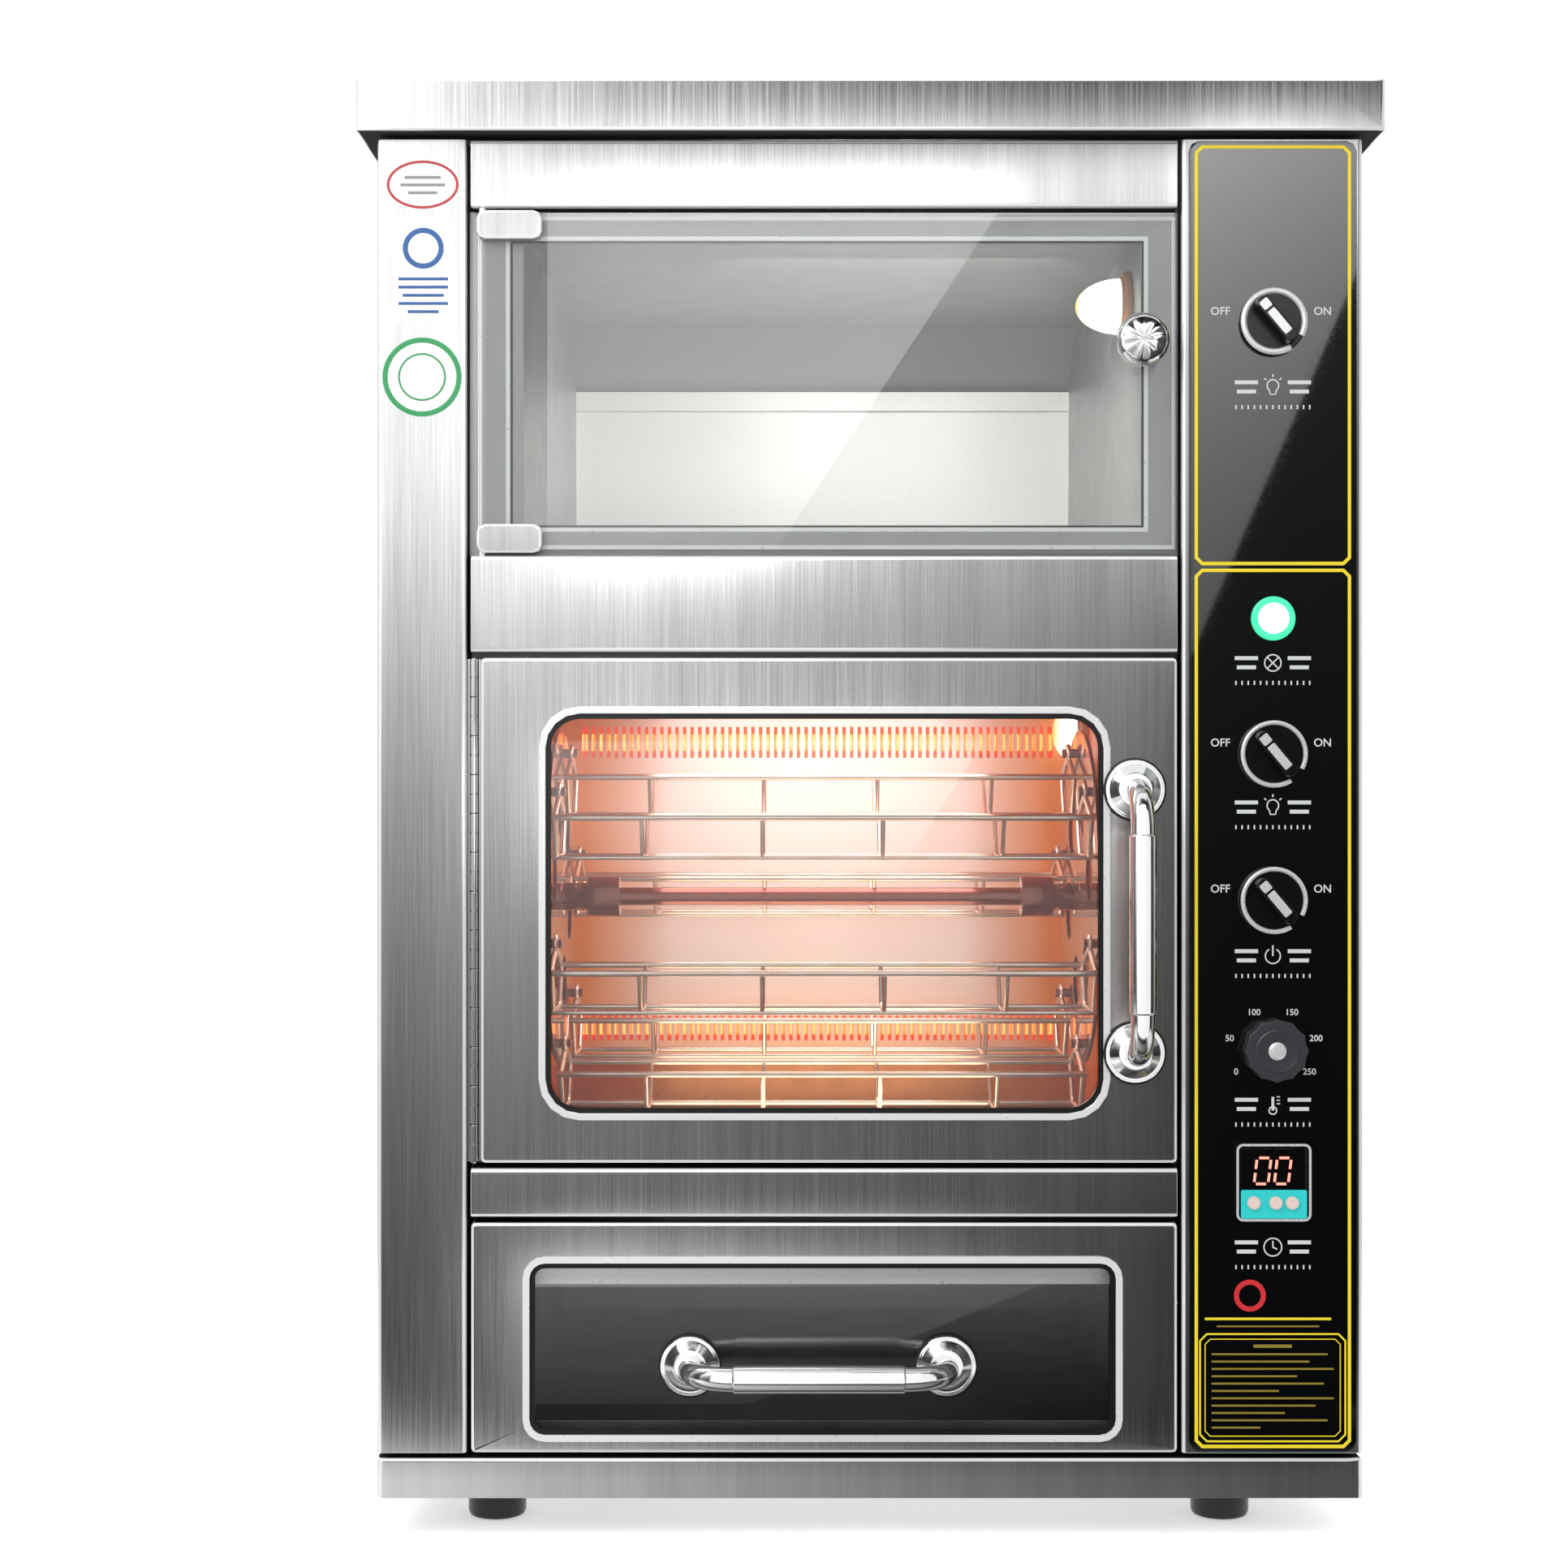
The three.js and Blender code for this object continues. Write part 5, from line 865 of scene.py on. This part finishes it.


# Rotor: a ground shaft with two punched discs welded to hubs, of stainless steel. All of it is red-brown:
# heat tint with painted glow of the heaters.
rotor_steel = rolled_steel("rotor_steel_painted_glow", "#8c4c40", 0.16, 0.75)
wire(rotor_steel.node_tree.nodes["Principled BSDF"], {"Coat Weight": 1.0})
for node in ("rotor_shaft", "rotor_disc_left", "rotor_disc_right"):
    fit(round_edges(copy_of(node), 0.0004), rotor_steel, "liner_steel", "rotor", node)


# Baskets: troughs of welded stainless wire, electropolished: two rails, two floor wires, four bent
# hoops and two end frames with eyes, which hang on the pins of the discs. One is made and copied.
wire_steel, tree, shader = new_material("electropolished_wire", "#d8cdc4", 0.2, metallic=0.9)
tint = add_node(tree, "TexNoise", {"Vector": add_node(tree, "TexCoord").outputs["Object"], "Scale": 30})
tint = add_node(tree, "Mix", {0: tint, 6: linear("#c9a88c"), 7: linear("#efeae6")}, data_type="RGBA")
wire(shader, {"Base Color": tint})
half_basket = 0.167
eye_side = 0.1645
rail_out, rail_low, floor_out, floor_low = 0.0365, -0.0156, 0.022, -0.0406  # from the pivot


def rounded(points, radius, steps=5):
    """The same path with its inner corners bent to a radius."""
    path = [Vector(points[0])]
    for before, corner, after in zip(points, points[1:], points[2:]):
        before, corner, after = Vector(before), Vector(corner), Vector(after)
        come, leave = (corner - before).normalized(), (after - corner).normalized()
        trim = radius * math.tan(come.angle(leave) / 2)
        start, end = corner - come * trim, corner + leave * trim
        for i in range(steps + 1):
            share = i / steps
            path.append(start.lerp(corner, share).lerp(corner.lerp(end, share), share))
    path.append(Vector(points[-1]))
    return path


def trough(x):
    """The bent shape of one hoop, across the basket at x."""
    corners = ((rail_out, rail_low), (floor_out, floor_low), (-floor_out, floor_low), (-rail_out, rail_low))
    return rounded([(x, y, z) for y, z in corners], 0.006)


wires = []
for y, z, radius in ((rail_out, rail_low, 0.002), (floor_out, floor_low, 0.0015)):
    for side in (y, -y):
        wires.append(bent_wire("wire", [(-half_basket, side, z), (half_basket, side, z)], radius, 2))
for x in (-0.111, -0.037, 0.037, 0.111):
    wires.append(bent_wire("wire", trough(x), 0.0013, 1))
for x in (-eye_side, eye_side):
    wires.append(bent_wire("wire", trough(x), 0.0018, 2))
    for side in (1, -1):
        hanger = [(x, side * rail_out, rail_low), (x, side * 0.0045, -0.0042)]
        wires.append(bent_wire("wire", hanger, 0.0018, 2))
    eye = [(x, y, z) for y, z in round_path(0, 0, 0.00495, 0.00495, steps=24)]
    wires.append(bent_wire("wire", eye, 0.00155, 2))
basket = join("basket", wires)
for number in range(1, 7):
    node = f"basket_{number}"
    joint = next(j for j in frame["record"]["behaviour"]["joints"] if j["child"] == node)
    hung = copy_piece(basket, node + "_wires", joint["pos_m"])
    fit(hung, wire_steel, "wire_steel", node, node)
bpy.data.objects.remove(basket)


# Oven door: a folded front with a raised rim round the glass, an inner panel and a rope gasket. Its
# edges are rolled, the rim is painted white as a highlight, and a rubber seal lies between the rim and the glass.
rolled_rim = 0.0027  # how far in from the outline the front face starts


def on_rim(point, low, high):
    """True for a point of the front face near the outline of a box."""
    across = min(abs(point.x - low.x), abs(point.x - high.x))
    up = min(abs(point.z - low.z), abs(point.z - high.z))
    return abs(point.y - face) < touching and min(across, up) < rolled_rim


def rimmed_front(node, body):
    """A folded front: its outline rolled, and what stands out round its window painted white as a highlight."""
    low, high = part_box(node)
    front = roll_edges(copy_of(node), 0.0022, lambda a, b: on_rim(a, low, high) and on_rim(b, low, high))
    fit(round_edges(front, 0.0004, sharper_than=45), outer_steel, "brushed_steel", body, node)
    paint_faces(front, painted_highlight_steel, lambda side: side.center.y < face - 0.0003)


rimmed_front("oven_door_shell", "oven_door")
inner = round_edges(copy_of("oven_door_inner_panel"), 0.0003)
fit(inner, liner_steel, "liner_steel", "oven_door", "oven_door_inner_panel")
silicone = grained("silicone_rope", "#5b5c5e", 0.7, 0.001, 0.0001)
gasket = round_edges(copy_of("oven_door_gasket"), 0.0006, 3)
fit(gasket, silicone, "grey_rubber", "oven_door", "oven_door_gasket")
glaze("oven_door_glass")
seal_rubber = grained("black_seal_rubber", "#070708", 0.6, 0.001, 0.00005)
seal_span = ((-0.1901, 0.1368), (0.2514, 0.4856))
seal_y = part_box("oven_door_glass")[0].y
oven_seal = flat_plate("oven_window_seal", *seal_span, seal_y, 0.02, 0.0022, ring=0.003, steps=10)
fit(oven_seal, seal_rubber, "black_rubber", "oven_door")


# Hinge: a stainless piano hinge at the door's left edge, its leaves between the door and the column.
# Each rolled knuckle has a fine groove, and the leaves' knuckles take turns along one pin.
low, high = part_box("hinge_frame_leaf")
hinge_place = (-0.23245, -0.2083, 0)
leaf_deep = -0.1973
knuckle_count, knuckle_pitch, knuckle_gap = 13, 22.81, 0.4
knuckle, groove = 2.3, 1.85
for node, body, leaf_x, first in (
    ("hinge_frame_leaf", "cabinet", -0.2362, 0),
    ("hinge_door_leaf", "oven_door", -0.2297, 1),
):
    leaf = flat_plate("leaf", (-0.009, 0.009), (low.z + 0.0004, high.z - 0.0004), 0, 0.001, 0.001)
    put(leaf, (leaf_x, leaf_deep, 0), (0, 0, upright))
    parts = [leaf]
    for i in range(first, knuckle_count, 2):
        bottom = 1000 * low.z + i * knuckle_pitch
        top = bottom + knuckle_pitch - knuckle_gap
        half = (bottom + top) / 2
        rolled = [(0, bottom), (knuckle - 0.4, bottom), (knuckle, bottom + 0.4), (knuckle, half - 0.5)]
        rolled += [(groove, half - 0.25), (groove, half + 0.25), (knuckle, half + 0.5), (knuckle, top - 0.4)]
        rolled += [(knuckle - 0.4, top), (0, top)]
        parts.append(turned("knuckle", rolled, hinge_place, as_made, steps=20))
    fit(join(node + "_finished", parts), polished, "polished_steel", body, node)


# Handles: each is one polished stainless tube bent to a bow, with a thicker grip sleeve, welded to
# two turned roses. A stud through the front and a nut behind it hold each rose.
def rose(name, spigot, behind):
    """A turned rose with a groove, its spigot, stud and nut, pointing up from its base plane."""
    seat = 0.3
    nut = -spigot - seat - behind - seat
    profile = [(0, nut - 3), (7.5, nut - 3), (8, nut - 2.6), (8, nut - 0.3), (7.7, nut), (3.5, nut)]
    profile += [(3.5, -spigot)]
    profile += [(13.5, -spigot), (13.5, 0)] if spigot else []
    profile += [(17, 0), (17, 0.9), (17.5, 1.2), (17.5, 2.1), (17.1, 2.5), (16.4, 2.6), (15.9, 2.2)]
    profile += [(15.2, 2.3), (14.4, 3.1), (10.2, 6.3), (9.6, 6.9), (8.6, 7.1), (6, 7.1), (0, 7.1)]
    return turned(name, profile, turn=as_made, steps=48, smooth_below=35)


def bar_handle(name, length, spigot, behind):
    """A bow from rose to rose along x, its base plane at z 0 and its bar above."""
    standoff, bend, foot = 0.0352, 0.0285, 0.0055
    half = length / 2
    ends = [(-half, 0, foot), (-half, 0, standoff), (half, 0, standoff), (half, 0, foot)]
    tube = bent_wire(name + "_tube", rounded(ends, bend, 14), 0.007, 6)
    grip = (half - bend + 0.003) * 1000
    sleeve = [(0, -grip), (6.9, -grip), (7.7, -grip + 0.5), (8, -grip + 1.4)]
    sleeve += [(8, grip - 1.4), (7.7, grip - 0.5), (6.9, grip), (0, grip)]
    grip_tube = turned(name + "_grip", sleeve, (0, 0, standoff), to_right, steps=32)
    first = rose(name + "_rose", spigot, behind)
    roses = [copy_piece(first, name + "_rose", (side * half, 0, 0)) for side in (-1, 1)]
    bpy.data.objects.remove(first)
    return join(name, [tube, grip_tube] + roses)


handle_steel = worn("buffed_stainless_tube", "#eceded", 260, 0.08, 0.16, low=0.35, high=0.65)
door_bar_x, door_bar_y = 0.155, -0.2123
lower_rose, upper_rose = 0.28693, 0.44111
door_bar = bar_handle("door_bar", upper_rose - lower_rose, 1.5, 1.5)
put(door_bar, (0, 0, 0), to_front)
put(door_bar, (0, 0, 0), to_right)
put(door_bar, (door_bar_x, door_bar_y, (upper_rose + lower_rose) / 2))
fit(door_bar, handle_steel, "polished_steel", "oven_door", "oven_door_handle")
# The black rubber washers under the roses are partly painted shade: they give each rose a dark outer rim.
washer_profile = [(14, 0.05), (18.3, 0.05), (18.5, 0.3), (18.5, 0.8), (18.2, 1), (14, 1)]
for name, height in (("lower", lower_rose), ("upper", upper_rose)):
    washer = turned("door_handle_washer_" + name, washer_profile, (door_bar_x, door_bar_y, height))
    fit(washer, seal_rubber, "black_rubber", "oven_door")


# Drawer: a folded front with a raised rim and a pane, a tray of bright sheet and a pair of rails. The
# rim is painted white as a highlight, the tray's grey is darkened as painted shade, and black rubber seals the glass.
fit(round_edges(copy_of("drawer_cradle"), 0.0003), zinc, "motor_steel", "cabinet", "drawer_cradle")
rimmed_front("drawer_front", "drawer")
# painted shade: the tray is a darker grey than the same rolled sheet in the liners
shaded_tray_steel = rolled_steel("drawer_tray_steel_painted_shade", "#8f8f90", 0.36, 0.8)
tray = round_edges(copy_of("drawer_tray"), 0.0003)
fit(tray, shaded_tray_steel, "liner_steel", "drawer", "drawer_tray")
tray_front, lip_low = -0.1879, 0.146  # the tray's upper lip, painted white as a highlight, shows through the pane
paint_faces(
    tray,
    painted_highlight_steel,
    lambda side: side.center.y < tray_front and side.normal.y < -0.9 and side.center.z > lip_low,
)
glaze("drawer_window")
drawer_bar_y, drawer_bar_z = -0.209, 0.103
left_rose, right_rose = -0.1056, 0.0448
drawer_bar = bar_handle("drawer_bar", right_rose - left_rose, 0, 4)
put(drawer_bar, ((left_rose + right_rose) / 2, drawer_bar_y, drawer_bar_z), to_front)
fit(drawer_bar, handle_steel, "polished_steel", "drawer", "drawer_handle")
# as on the door, the black washers also darken each rose's outer rim as painted shade
for name, across in (("left", left_rose), ("right", right_rose)):
    washer = turned("drawer_handle_washer_" + name, washer_profile, (across, drawer_bar_y, drawer_bar_z))
    fit(washer, seal_rubber, "black_rubber", "drawer")
bars = bpy.data.collections.new("polished_bars")
bars.objects.link(door_bar)
bars.objects.link(drawer_bar)
bar_light = soft_lamp("bar_light", (0.12, face - 0.3, 0.3), (0.12, face, 0.3), 0.9, 2.6)
bar_light.light_linking.receiver_collection = bars
low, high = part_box("drawer_window")
hidden = 0.006  # how far the pane reaches under the front
seal_span = ((low.x + hidden, high.x - hidden), (low.z + hidden, high.z - hidden))
drawer_seal = flat_plate("drawer_window_seal", *seal_span, low.y, 0.009, 0.0022, ring=0.003)
fit(drawer_seal, seal_rubber, "black_rubber", "drawer")


# Control panel: a strip of black acrylic, polished, with yellow lines, grey pictograms and plain
# dashes printed on it. The only words are OFF and ON beside the switches, and numbers on the dial.
acrylic = worn("polished_black_acrylic", "#050607", 700, 0.03, 0.09, metallic=0.0, high=0.75)
wire(acrylic.node_tree.nodes["Principled BSDF"], {"IOR": 1.9, "Coat Weight": 0.6})
panel = round_edges(copy_of("control_panel"), 0.0003)
fit(panel, acrylic, "gloss_black", "cabinet", "control_panel")
panel_low, panel_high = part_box("control_panel")
panel_face = panel_low.y
print_y = panel_face - 0.00005
control_x = 0.23585


def cut_corners(left, right, low, high, corner):
    """A closed outline with chamfered corners."""
    points = [(left + corner, low), (right - corner, low), (right, low + corner), (right, high - corner)]
    points += [(right - corner, high), (left + corner, high), (left, high - corner), (left, low + corner)]
    return points + [points[0], points[1]]


def print_ink(name, colour, glow=0.0):
    """Screen-printed ink or tinted plastic: matt and very slightly grainy."""
    material = worn(name, colour, 2500, 0.4, 0.6, metallic=0.0)
    shader = material.node_tree.nodes["Principled BSDF"]
    wire(shader, {"Emission Color": linear(colour), "Emission Strength": glow})
    return material


yellow_ink = print_ink("yellow_ink", "#f4dc1c")
dim_yellow_ink = print_ink("dim_yellow_ink", "#8f7d1c")
pale_ink = print_ink("pale_grey_ink", "#d5d8da")
ruby_ink = print_ink("ruby_ink", "#d8202c")
frame_x = (panel_low.x + 0.0043, panel_high.x - 0.0043)
yellow = [
    stroke(cut_corners(left, right, low, high, corner), width, print_y)
    for (left, right), low, high, corner, width in (
        (frame_x, 0.5735, 0.8175, 0.0035, 0.0024),
        (frame_x, 0.0565, 0.5695, 0.0035, 0.0024),
        ((0.1932, 0.2783), 0.0595, 0.1223, 0.004, 0.0013),
        ((0.1962, 0.2753), 0.0625, 0.1193, 0.003, 0.0007),
    )
]
yellow.append(dash(0.233, 0.037, 0.1312, 0.0017, print_y))
fit(join("yellow_lines", yellow), yellow_ink, "", "cabinet")
dashes = [dash(0.233, 0.03, 0.1268, 0.0011, print_y)]
dashes.append(dash(0.23575, 0.01125, 0.1152, 0.0022, print_y))
for i, share in enumerate((0.95, 0.8, 1.0, 0.7, 0.92, 0.55, 1.0, 0.85, 0.6, 0.95, 0.4)):
    rise = 0.1105 - 0.0043 * i
    dashes.append(stroke([(0.2, rise), (0.2 + 0.0715 * share, rise)], 0.0013, print_y))
fit(join("panel_dashes", dashes), dim_yellow_ink, "", "cabinet")
emblem = stroke(round_path(0.2224, 0.1448, 0.0079, 0.0079, steps=32), 0.0034, print_y)
fit(emblem, ruby_ink, "", "cabinet")

marks = []


def mark(points, width=0.0009):
    """Prints a line among the panel's grey marks."""
    marks.append(stroke(points, width, print_y))


def ring_mark(z, radius, start=0, end=360):
    mark(round_path(control_x, z, radius, radius, start, end, 28))


def label_bars(z):
    """Two stacked plain bars on both sides of a pictogram, and a row of ticks under them."""
    for side in (-1, 1):
        for rise, half in ((0.0028, 0.0068), (-0.0026, 0.0056)):
            marks.append(dash(control_x + side * 0.0155, half, z + rise, 0.0026, print_y))
    for i in range(13):
        tick = control_x + (i - 6) * 0.0036
        mark([(tick, z - 0.0105), (tick, z - 0.0129)])


def bulb(z):
    """A light bulb with three rays."""
    x = control_x
    mark(round_path(x, z + 0.001, 0.0034, 0.0034, -50, 230, 20))
    mark([(x - 0.0021, z - 0.0016), (x - 0.0015, z - 0.0042), (x + 0.0015, z - 0.0042), (x + 0.0021, z - 0.0016)])
    for turn in (math.radians(40), math.radians(90), math.radians(140)):
        mark([(x + math.cos(turn) * r, z + 0.001 + math.sin(turn) * r) for r in (0.005, 0.0066)])


def crossed_lamp(z):
    """The sign of a signal lamp: a ring with a cross in it."""
    ring_mark(z, 0.0048)
    for turn in (math.radians(45), math.radians(135)):
        across, up = 0.0048 * math.cos(turn), 0.0048 * math.sin(turn)
        mark([(control_x - across, z - up), (control_x + across, z + up)])


def power_sign(z):
    ring_mark(z, 0.0044, 120, 420)
    mark([(control_x, z + 0.0062), (control_x, z)])


def thermometer(z):
    ring_mark(z - 0.0035, 0.0022)
    mark([(control_x, z - 0.0035), (control_x, z + 0.0045)], 0.0016)
    for i in range(3):
        rise = z + 0.0005 + 0.002 * i
        mark([(control_x + 0.0022, rise), (control_x + 0.0042, rise)], 0.0008)


def clock(z):
    ring_mark(z, 0.0052)
    mark([(control_x, z + 0.0036), (control_x, z), (control_x + 0.0025, z - 0.0012)])


for height, sign in (
    (0.6768, bulb),
    (0.5153, crossed_lamp),
    (0.4308, bulb),
    (0.3437, power_sign),
    (0.2567, thermometer),
    (0.1732, clock),
):
    label_bars(height)
    sign(height)


def words(text, x, z, size):
    """Printed capitals or figures, centred."""
    bpy.ops.object.select_all(action="DESELECT")
    bpy.ops.object.text_add()
    letters = bpy.context.active_object
    letters.data.body = text
    letters.data.size = size
    letters.data.align_x = "CENTER"
    letters.data.align_y = "CENTER"
    letters.data.offset = 0.00008
    letters.data.extrude = 0.00004
    letters.data.resolution_u = 4
    bpy.ops.object.convert(target="MESH")
    return put(letters, (x, print_y, z), to_front)


knob_heights = {"warmer_light_knob": 0.71463, "oven_light_knob": 0.46191, "power_knob": 0.37638}
for height in knob_heights.values():
    for word, across in (("OFF", 0.2051), ("ON", 0.265)):
        marks.append(words(word, across, height + 0.0065, 0.0066))
thermostat_height = 0.28931
dial_across, dial_up = 0.0262, 0.0235
for i in range(6):
    turn = math.radians(215 - i * 50)
    across, up = control_x + dial_across * math.cos(turn), thermostat_height + dial_up * math.sin(turn)
    marks.append(words(str(50 * i), across, up, 0.0052))
fit(join("panel_marks", marks), pale_ink, "", "cabinet")


# Switches: moulded black ABS pointer knobs, which lean to the left when the switch is off. Each has a
# chromed ring with a gap on its flange, and on its pointer a split pale inlay: a painted highlight along the grip,
# with a pointer mark at its tip.
switch_plastic = grained("moulded_black_abs", "#0c0c0e", 0.28, 0.0008, 0.00003)
satin_chrome = worn("satin_chrome_plating", "#e9ebec", 800, 0.2, 0.34, metallic=0.35)


def tapered_block(size, place, corner, steps, height, taper):
    """A rounded oblong that stands on its place and draws in towards its top."""
    bpy.ops.object.select_all(action="DESELECT")
    bpy.ops.mesh.primitive_plane_add(size=1, location=place)
    block = bpy.context.active_object
    bpy.ops.object.mode_set(mode="EDIT")
    bpy.ops.mesh.select_all(action="SELECT")
    bpy.ops.transform.resize(value=(*size, 1))
    bpy.ops.mesh.bevel(offset=corner, segments=steps, affect="VERTICES")
    bpy.ops.mesh.select_all(action="SELECT")
    bpy.ops.mesh.extrude_region_move(TRANSFORM_OT_translate={"value": (0, 0, height)})
    bpy.ops.transform.resize(value=(*taper, 1))
    bpy.ops.mesh.select_all(action="SELECT")
    bpy.ops.mesh.normals_make_consistent(inside=False)
    bpy.ops.object.mode_set(mode="OBJECT")
    bpy.ops.object.transform_apply(location=True, rotation=True, scale=True)
    return block


def pointer(name, tube):
    """A flange with a pointer grip on it, standing on z 0 and pointing along y, and its trim."""
    flange_profile = [(0, 0.3), (18.2, 0.3), (19, 0.9), (19, 3.2), (18.4, 4), (0, 4)]
    flange = turned(name, flange_profile, turn=as_made, steps=48)
    grip = tapered_block((0.009, 0.033), (0, 0, 0.0035), 0.004, 5, 0.0115, (0.86, 0.95))
    round_edges(grip, 0.0006, 3, sharper_than=50)
    stem = turned(name, [(0, -12), (3, -12), (3, 0.4), (0, 0.4)], turn=as_made, steps=20)
    body = join(name, [flange, grip, stem])
    ring_radius = 0.0197 - tube
    ring_points = [(x, y, 0.0044) for x, y in round_path(0, 0, ring_radius, ring_radius, -68, 262, 44)]
    trim = [bent_wire(name + "_ring", ring_points, tube, 4)]
    # painted highlight: a pale strip along the top of the grip, and a short pointer mark at its tip
    for low, high, half in ((-0.0105, 0.0065, 0.00265), (0.0078, 0.0137, 0.00295)):
        place = (0, (low + high) / 2, 0.01495)
        trim.append(tapered_block((half * 2, high - low), place, 0.0009, 3, 0.0005, (0.88, 0.95)))
    return body, join(name + "_trim", trim)


switched_off = math.radians(40)
for node, height in knob_heights.items():
    body, trim = pointer(node + "_body", 0.0019 if node == "warmer_light_knob" else 0.0014)
    looks = ((body, switch_plastic, "black_plastic"), (trim, satin_chrome, "polished_steel"))
    for piece, material, slot in looks:
        put(piece, (0, 0, 0), (0, 0, switched_off))
        put(piece, (control_x, panel_face, height), to_front)
        fit(piece, material, slot, node, node)


# Thermostat: a scalloped knob of dark grey phenolic with a numbered dial round it, a ring on its face
# and a small bright cap in the middle.
phenolic = grained("moulded_grey_phenolic", "#3a3c3f", 0.3, 0.0008, 0.00003)
thermostat = round_edges(copy_of("thermostat_knob"), 0.0011, 3, sharper_than=60)
fit(thermostat, phenolic, "black_plastic", "thermostat_knob", "thermostat_knob")
bright_radius, bright_height = 0.0052, 0.0142
cap_profile = [(0, 13.6), (12.6, 13.6), (12.6, 14.3), (11.9, 14.7), (11, 14.3), (5.2, 14.3), (4.6, 14.9)]
cap_profile += [(2.6, 15.4), (0, 15.5)]
dial_cap = turned("thermostat_cap", cap_profile, (control_x, panel_face, thermostat_height))
fit(dial_cap, phenolic, "black_plastic", "thermostat_knob")
paint_faces(
    dial_cap,
    satin_chrome,
    lambda side: side.center.y < panel_face - bright_height
    and math.hypot(side.center.x - control_x, side.center.z - thermostat_height) < bright_radius,
)


# Indicator: a clear green polycarbonate ring round a white diffuser, snapped into the panel and lit.
indicator_profile = [(0, 0.3), (12.5, 0.3), (12.9, 0.7), (12.9, 1.9), (12, 2.7), (10, 2.9), (9.3, 2.5)]
indicator_profile += [(0, 2.5)]
low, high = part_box("indicator_lamp")
indicator_place = (control_x, panel_face, (low.z + high.z) / 2)
green_ring = print_ink("green_polycarbonate", "#3fe0a0", 0.6)
ring = turned("indicator_ring", indicator_profile, indicator_place)
fit(ring, green_ring, "green_lens", "cabinet", "indicator_lamp")
lens_profile = [(0, 2.4), (9.1, 2.4), (9.1, 3.2), (8.4, 4.1), (6.6, 4.8), (3.4, 5.1), (0, 5.2)]
white_lens = print_ink("white_diffuser", "#f7fbf8", 0.75)
lens = turned("indicator_lens", lens_profile, indicator_place, smooth_below=50)
fit(lens, white_lens, "green_lens", "cabinet", "indicator_lamp")


# Timer: a snap-in module of black acrylic with a brushed rim, a red seven-segment display that reads
# 00, and a lit strip with three soft buttons under it.
timer_low, timer_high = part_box("timer_module")
timer = round_edges(copy_of("timer_module"), 0.0005)
fit(timer, acrylic, "gloss_black", "cabinet", "timer_module")
rim_span = ((timer_low.x, timer_high.x), (timer_low.z, timer_high.z))
rim = flat_plate("timer_rim", *rim_span, timer_low.y, 0.004, 0.0004, ring=0.0014)
fit(rim, satin_chrome, "polished_steel", "cabinet")
lit_strip = print_ink("lit_cyan_strip", "#1fbdbc", 0.3)
strip_x = (timer_low.x + 0.0026, timer_high.x - 0.0026)
strip = flat_plate("timer_strip", strip_x, (0.1905, 0.2072), timer_low.y, 0.0012, 0.00035)
fit(strip, lit_strip, "", "cabinet")
display_red = print_ink("lit_red_segments", "#ff8d7a", 1.2)
digit_low, digit_wide, half_high, slant = 0.2106, 0.0082, 0.0076, 0.12
zero = (((0, 0), (1, 0)), ((0, 2), (1, 2)), ((0, 0), (0, 1)), ((0, 1), (0, 2)), ((1, 0), (1, 1)), ((1, 1), (1, 2)))
segments = []
for left in (0.2244, 0.2362):
    for bar in zero:
        a, b = (
            Vector((left + digit_wide * across + slant * half_high * level, digit_low + half_high * level))
            for across, level in bar
        )
        gap = (b - a).normalized() * 0.0012
        segments.append(stroke([tuple(a + gap), tuple(b - gap)], 0.0017, timer_low.y + 0.00085))
fit(join("timer_digits", segments), display_red, "", "cabinet")
button_skin = grained("silicone_button", "#e9d3cb", 0.5, 0.0008, 0.00003)
for number in range(1, 4):
    node = f"timer_button_{number}"
    low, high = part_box(node)
    key = (high.x - low.x) * 500
    long = (high.y - low.y) * 1000
    key_profile = [(0, 0), (key, 0), (key, long - 1.2), (key - 0.4, long - 0.4), (key - 1.4, long - 0.05)]
    key_profile += [(key - 2.2, long - 0.3), (0, long - 0.4)]
    key_place = ((low.x + high.x) / 2, high.y, (low.z + high.z) / 2)
    button = turned(node + "_cap", key_profile, key_place, steps=24)
    fit(button, button_skin, "button_white", node, node)
